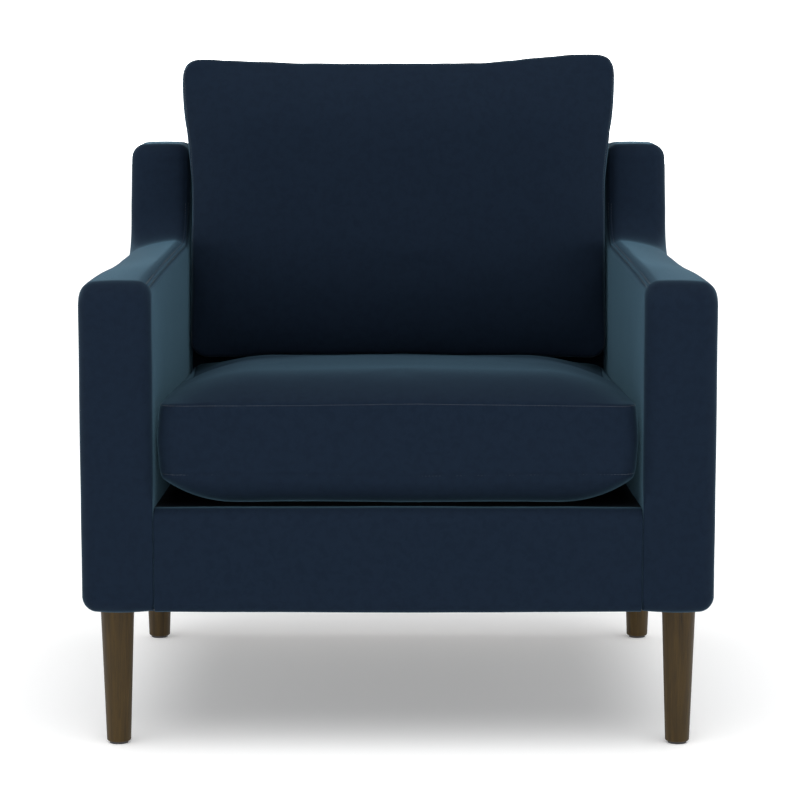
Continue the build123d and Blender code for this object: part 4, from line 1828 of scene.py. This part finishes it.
class LooseCushions:
    """The seat cushion and the back cushion, with their linings, seams and zips."""

    def __init__(self, layout: ChairLayout, paintbox: Paintbox, stitcher: Stitcher) -> None:
        """Starts the cushions.

        Args:
            layout: The chair's layout.
            paintbox: The finishes.
            stitcher: Sews the seams.
        """
        self.layout = layout
        self.paintbox = paintbox
        self.stitcher = stitcher
        self.teeth = RepeatTree("Zip teeth", SmallShape.TOOTH)
        self.side_gap = 0.0012

    def build(self) -> None:
        """Builds the seat cushion, then the back cushion that rests on it."""
        seat = self._seat()
        self._back(seat)

    def _seat(self) -> bpy.types.Object:
        """The seat cushion, flat underneath where it lies on the deck.

        Returns:
            Its cover.
        """
        layout = self.layout
        low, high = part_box("seat_cushion_cover")
        slope = layout.slope
        along = Vector((0.0, math.cos(slope), -math.sin(slope)))
        through = Vector((0.0, math.sin(slope), math.cos(slope)))
        origin = Vector((0.0, low.y, layout.deck_height(low.y))) + through * 0.0005
        place = CushionFrame(origin, Vector((1.0, 0.0, 0.0)), along, through)
        sizes = CushionSizes(
            half_width=0.3005,
            length=(high.y - low.y) / math.cos(slope) - 0.008,
            thickness=0.170,
            boxing=0.094,
            base_crown=0.040,
            corner_radius=0.028,
            top_reach=0.122,
            base_reach_across=0.100,
            base_reach_along=0.045,
            side_bulge=0.003,
            pucker=0.0008,
            rear_fall=0.020,
        )
        cushion = BoxedCushion(sizes, place, seed=2.3)

        def fit(points: np.ndarray) -> np.ndarray:
            """Keeps the cushion on the deck and between the arms.

            Args:
                points: The cushion's points in the chair.

            Returns:
                The moved points.
            """
            local = place.read(points)
            local[:, 2] = -soft_limit(-local[:, 2], 0.0, 0.006)
            side = layout.inner_x - self.side_gap
            local[:, 0] = np.sign(local[:, 0]) * soft_limit(np.abs(local[:, 0]), side)
            return place.place(local)

        zip_low, zip_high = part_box("seat_zip")
        recess = self._zip_frame(zip_low, zip_high, place, Vector(along))
        return self._finish_cushion(
            cushion,
            "seat_cushion_velvet",
            "seat_cushion",
            fit,
            recess,
            {"seat_fibre_wrap": ("seat_fibre", FIBRE, "wadding", 0.017),
             "seat_foam_core": ("seat_foam", FOAM, "foam", 0.033)},
            "seat_cushion_cover",
        )

    def _zip_frame(
        self, low: Vector, high: Vector, place: CushionFrame, outward: Vector
    ) -> ZipRecess:
        """The recess that fits round a zip.

        Args:
            low: The zip's lowest corner.
            high: Its highest corner.
            place: The cushion's frame.
            outward: The direction that the zip faces.

        Returns:
            The recess.
        """
        middle = (low + high) / 2
        zip_depth = 0.0065
        floor = middle - outward * 0.00125
        mouth = floor + outward * zip_depth
        upright = outward.cross(place.across)
        axes = CushionFrame(mouth, place.across, upright, outward)
        return ZipRecess(axes, half_length=(high.x - low.x) / 2 + 0.001)

    def _back(self, seat: bpy.types.Object) -> None:
        """The back cushion, which leans on the back and stands on the seat cushion.

        Args:
            seat: The seat cushion's cover.
        """
        layout = self.layout
        rake = layout.rake
        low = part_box("back_cushion_cover")[0]
        along = Vector((0.0, math.sin(rake), math.cos(rake)))
        through = Vector((0.0, -math.cos(rake), math.sin(rake)))
        foot_z = low.z + 0.004
        origin = Vector((0.0, layout.inside_back_y(foot_z), foot_z)) + through * 0.0012
        place = CushionFrame(origin, Vector((1.0, 0.0, 0.0)), along, through)
        sizes = CushionSizes(
            half_width=0.3045,
            length=0.4215,
            thickness=0.146,
            boxing=0.078,
            base_crown=0.028,
            corner_radius=0.026,
            top_reach=0.110,
            base_reach_across=0.070,
            base_reach_along=0.060,
            side_bulge=0.004,
            pucker=0.0016,
        )
        flare = 0.038
        left_rise, right_rise = 0.004, 0.011
        front_sag = 0.024
        cushion = BoxedCushion(sizes, place, seed=9.4)
        seat_tree = BVHTree.FromObject(seat, bpy.context.evaluated_depsgraph_get())

        def fit(points: np.ndarray) -> np.ndarray:
            """Flares the cushion over the arms, and keeps it off the wings, back and seat.

            Args:
                points: The cushion's points in the chair.

            Returns:
                The moved points.
            """
            local = place.read(points)
            height = local[:, 1] / sizes.length
            local[:, 0] *= 1.0 + flare * smoothstep(0.55, 0.90, height)
            left_ear = left_rise * smoothstep(-0.14, -0.30, local[:, 0])
            right_ear = right_rise * smoothstep(0.10, 0.27, local[:, 0])
            local[:, 1] += (left_ear + right_ear) * smoothstep(0.75, 1.0, height)
            front = smoothstep(0.06, 0.13, local[:, 2])
            local[:, 1] -= front_sag * front * (1.0 - smoothstep(0.0, 0.30, height))
            local[:, 2] = -soft_limit(-local[:, 2], 0.0, 0.006)
            placed = place.place(local)
            side = layout.inner_x - self.side_gap
            held = np.sign(placed[:, 0]) * soft_limit(np.abs(placed[:, 0]), side)
            wing_front = np.array([layout.wing_front_y(z) for z in placed[:, 2]])
            over = smoothstep(layout.wing_z + 0.002, layout.wing_z + 0.030, placed[:, 2])
            ahead = smoothstep(0.003, 0.020, wing_front - placed[:, 1])
            ahead *= smoothstep(layout.arm_z + 0.045, layout.arm_z + 0.085, placed[:, 2])
            free = np.maximum(over, ahead)
            placed[:, 0] = held * (1.0 - free) + placed[:, 0] * free
            return rest_on(placed, seat_tree, clearance=0.0012)

        zip_low, zip_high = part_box("back_zip")
        recess = self._zip_frame(zip_low, zip_high, place, -along)
        self._finish_cushion(
            cushion,
            "back_cushion_velvet",
            "back_cushion",
            fit,
            recess,
            {"back_cushion_filling": ("back_fibre", FIBRE, "wadding", 0.015)},
            "back_cushion_cover",
        )

    def _finish_cushion(
        self,
        cushion: BoxedCushion,
        name: str,
        body: str,
        fit: Callable[[np.ndarray], np.ndarray],
        recess: ZipRecess,
        linings: dict[str, tuple[str, Finish, str, float]],
        node: str,
    ) -> bpy.types.Object:
        """Fills, fits, sews and fastens a cushion and what is in it.

        Args:
            cushion: The cushion.
            name: The cover's name.
            body: The body that it moves with.
            fit: Keeps points clear of the cushion's neighbours.
            recess: The slot for its zip.
            linings: For each inner node, a name, finish, slot and depth under the cover.
            node: The node that the cover stands for.

        Returns:
            The cover.
        """
        points, faces, seams = cushion.local_mesh()
        cover = mesh_object(name, cushion.frame.place(cushion.shape(points)), faces)
        cushion.inflate(cover)
        cushion.gather(cover, seams)
        set_vertices(cover, fit(vertex_array(cover)))
        for lining_node, (label, finish, slot, depth) in linings.items():
            inner = bpy.data.objects.new(label, cover.data.copy())
            bpy.context.scene.collection.objects.link(inner)
            shrunk = self._shrunk(cushion.frame.read(vertex_array(inner)), depth)
            shrunk = self._press_lining(recess, cushion.frame.place(shrunk), depth)
            set_vertices(inner, shrunk)
            self._dress(inner, finish, body, lining_node)
        seam_points = [vertex_array(cover)[ring] for ring in seams.values()]
        set_vertices(cover, recess.press(vertex_array(cover)))
        subdivide(cover)
        self._dress(cover, VELVET, body, node)
        seam_lift = 0.0002
        sewn = [path + seam_lift * (path - path.mean(axis=0)) for path in seam_points]
        self.stitcher.sew(f"{body}_seam_thread", sewn, True, body)
        self._zip_teeth(body, recess)
        log.info("%s: %d faces", cover.name, len(cover.data.polygons))
        return cover

    @staticmethod
    def _shrunk(points: np.ndarray, depth: float) -> np.ndarray:
        """Points drawn in towards their middle, by depth at the outermost ones.

        Args:
            points: The points in the cushion's own frame.
            depth: How far the outermost points move.

        Returns:
            The moved points.
        """
        low, high = points.min(axis=0), points.max(axis=0)
        middle, half = (low + high) / 2, (high - low) / 2
        return middle + (points - middle) * (1.0 - depth / half)

    @staticmethod
    def _press_lining(recess: ZipRecess, points: np.ndarray, depth: float) -> np.ndarray:
        """Sinks a lining behind the zip's slot, by its depth under the cover.

        Args:
            recess: The cover's slot.
            points: The lining's points.
            depth: Its depth under the cover.

        Returns:
            The pressed points.
        """
        deeper = ZipRecess(
            recess.frame_axes,
            recess.half_length + 0.004,
            recess.half_height + 0.012,
            recess.depth + depth,
        )
        return deeper.press(points)

    def _dress(
        self,
        piece: bpy.types.Object,
        finish: Finish,
        body: str,
        node: str,
    ) -> None:
        """Paints and fastens a soft piece, and hides the node that it stands for.

        Args:
            piece: The piece.
            finish: What it is made of.
            body: The body that it moves with.
            node: The node that it stands for.
        """
        self.paintbox.paint(piece, finish)
        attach(piece, body)
        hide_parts(node)

    def _zip_teeth(self, body: str, recess: ZipRecess) -> None:
        """The teeth over a zip's coil.

        Args:
            body: The body that they move with.
            recess: The zip's slot.
        """
        axes = recess.frame_axes
        lift = -recess.depth + 0.0038
        ends = np.array([(-recess.half_length, 0.0, lift), (recess.half_length, 0.0, lift)])
        sizes = {"Spacing": 0.0016, "Length": 0.0009, "Thickness": 0.0009}
        material = self.paintbox.material(BLACK_METAL)
        teeth = self.teeth.along(f"{body}_zip_teeth", [axes.place(ends)], False, sizes, material)
        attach(teeth, body)


def rest_on(points: np.ndarray, below: BVHTree, clearance: float) -> np.ndarray:
    """Lifts points that lie in or under a surface to just above it.

    Args:
        points: The points, one a row.
        below: The surface.
        clearance: The gap that is left.

    Returns:
        The lifted points.
    """
    lifted = points.copy()
    high = 1.0
    down = Vector((0.0, 0.0, -1.0))
    for index, (x, y, z) in enumerate(points):
        hit = below.ray_cast(Vector((x, y, high)), down)[0]
        if hit is not None and z < hit.z + clearance:
            lifted[index, 2] = hit.z + clearance
    return lifted


# The carried-over parts


@dataclass
class BareParts:
    """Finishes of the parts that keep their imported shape, and the staples under the base."""

    paintbox: Paintbox

    SLOT_FINISHES = {
        "velvet": VELVET,
        "frame_timber": BEECH,
        "fibreboard": BOARD,
        "foam": FOAM,
        "wadding": FIBRE,
        "lining_cloth": LINING,
        "webbing": WEBBING,
        "zinc_steel": ZINC,
        "leg_wood": SMOKED_OAK,
        "glide_plastic": GLIDE,
        "zip": ZIP_TAPE,
        "zip_metal": BLACK_METAL,
    }

    def build(self) -> None:
        """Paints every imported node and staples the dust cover."""
        slots = {part["node"]: part["material_slot"] for part in frame["record"]["subparts"]}
        for node, piece in frame["nodes"].items():
            self.paintbox.paint(piece, self.SLOT_FINISHES[slots[node]])
        log.info("painted %d packed nodes", len(slots))
        self._staples()

    def _staples(self) -> None:
        """The staples round the edge of the cloth under the base."""
        low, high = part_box("dust_cover")
        inset = 0.008
        corners = [
            (low.x + inset, low.y + inset),
            (high.x - inset, low.y + inset),
            (high.x - inset, high.y - inset),
            (low.x + inset, high.y - inset),
        ]
        z = low.z - 0.0001
        path = np.array([(x, y, z) for x, y in corners])
        tree = RepeatTree("Staples", SmallShape.STAPLE)
        sizes = {"Spacing": 0.034, "Length": 0.010, "Thickness": 0.0009}
        staples = tree.along("base_staples", [path], True, sizes, self.paintbox.material(ZINC))
        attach(staples, "chair")
        log.info("staples: %d faces", len(staples.data.polygons))


# Studio


@dataclass
class Studio:
    """A white studio: floor, soft lights and the camera."""

    layout: ChairLayout
    camera_distance: float = 3.6137
    camera_height: float = 0.932
    camera_pitch: float = 7.575
    camera_side: float = 0.0025
    lens: float = 131.4
    floor_glow: float = 0.20
    horizon_glow: float = 3.2
    sky_glow: float = 0.34
    glow_low: float = 0.10
    glow_high: float = 0.30
    softbox_power: float = 2.35
    softbox_spread: float = 75.0
    softbox_tilt: float = 16.0

    def build(self) -> None:
        """Sets up the whole studio."""
        self._floor()
        self._world()
        self._softbox()
        self._camera()
        settings = bpy.context.scene.view_settings
        settings.view_transform = "Standard"
        settings.look = "None"

    def _floor(self) -> None:
        """A wide pale floor."""
        reach, steps = 14.0, 24
        line = np.linspace(-reach, reach, steps + 1)
        points = np.array([(x, y, 0.0) for y in line for x in line])
        faces = []
        for row in range(steps):
            for column in range(steps):
                here = row * (steps + 1) + column
                faces.append((here, here + 1, here + steps + 2, here + steps + 1))
        floor = mesh_object("studio_floor", points, faces)
        material = bpy.data.materials.new("White floor")
        material.use_nodes = True
        shader = material.node_tree.nodes["Principled BSDF"]
        shader.inputs["Base Color"].default_value = (0.93, 0.93, 0.93, 1.0)
        shader.inputs["Roughness"].default_value = 0.9
        shader.inputs["Specular IOR Level"].default_value = 0.1
        shader.inputs["Emission Color"].default_value = (1.0, 1.0, 1.0, 1.0)
        shader.inputs["Emission Strength"].default_value = self.floor_glow
        floor.data.materials.append(material)

    def _world(self) -> None:
        """White light from the horizon and a dimmer glow from above it."""
        world = bpy.data.worlds.new("Studio white")
        world.use_nodes = True
        pen = ShaderPen(world.node_tree)
        background = world.node_tree.nodes["Background"]
        background.inputs["Color"].default_value = (1.0, 1.0, 1.0, 1.0)
        sky = pen.add("ShaderNodeTexCoord")
        parts = pen.add("ShaderNodeSeparateXYZ")
        glow = pen.add("ShaderNodeMapRange", interpolation_type="SMOOTHSTEP")
        glow.inputs["From Min"].default_value = self.glow_low
        glow.inputs["From Max"].default_value = self.glow_high
        glow.inputs["To Min"].default_value = self.horizon_glow
        glow.inputs["To Max"].default_value = self.sky_glow
        pen.link(sky.outputs["Generated"], parts.inputs["Vector"])
        pen.link(parts.outputs["Z"], glow.inputs["Value"])
        pen.link(glow.outputs["Result"], background.inputs["Strength"])
        bpy.context.scene.world = world

    def _softbox(self) -> None:
        """One very soft light from above and a little in front."""
        light = bpy.data.lights.new("softbox", "SUN")
        light.energy = self.softbox_power
        light.angle = math.radians(self.softbox_spread)
        lamp = bpy.data.objects.new("softbox", light)
        lamp.rotation_euler = (math.radians(self.softbox_tilt), 0.0, 0.0)
        bpy.context.scene.collection.objects.link(lamp)

    def _camera(self) -> None:
        """The camera, straight in front and a little above."""
        data = bpy.data.cameras.new("studio_camera")
        data.lens = self.lens
        data.sensor_width = 36.0
        camera = bpy.data.objects.new("studio_camera", data)
        camera.location = (
            self.camera_side,
            self.layout.front_y - self.camera_distance,
            self.camera_height,
        )
        camera.rotation_euler = (math.radians(90.0 - self.camera_pitch), 0.0, 0.0)
        bpy.context.scene.collection.objects.link(camera)
        bpy.context.scene.camera = camera


def main() -> None:
    """Builds the studio and dresses the chair, piece by piece."""
    logging.basicConfig(level=logging.INFO, format="%(name)s: %(message)s")
    layout = ChairLayout.from_frame()
    paintbox = Paintbox()
    stitcher = Stitcher(paintbox)
    Studio(layout).build()
    BareParts(paintbox).build()
    UpholsteredSides(layout, paintbox, stitcher).build()
    FixedCovers(layout, paintbox).build()
    LooseCushions(layout, paintbox, stitcher).build()


if __name__ == "__main__":
    main()
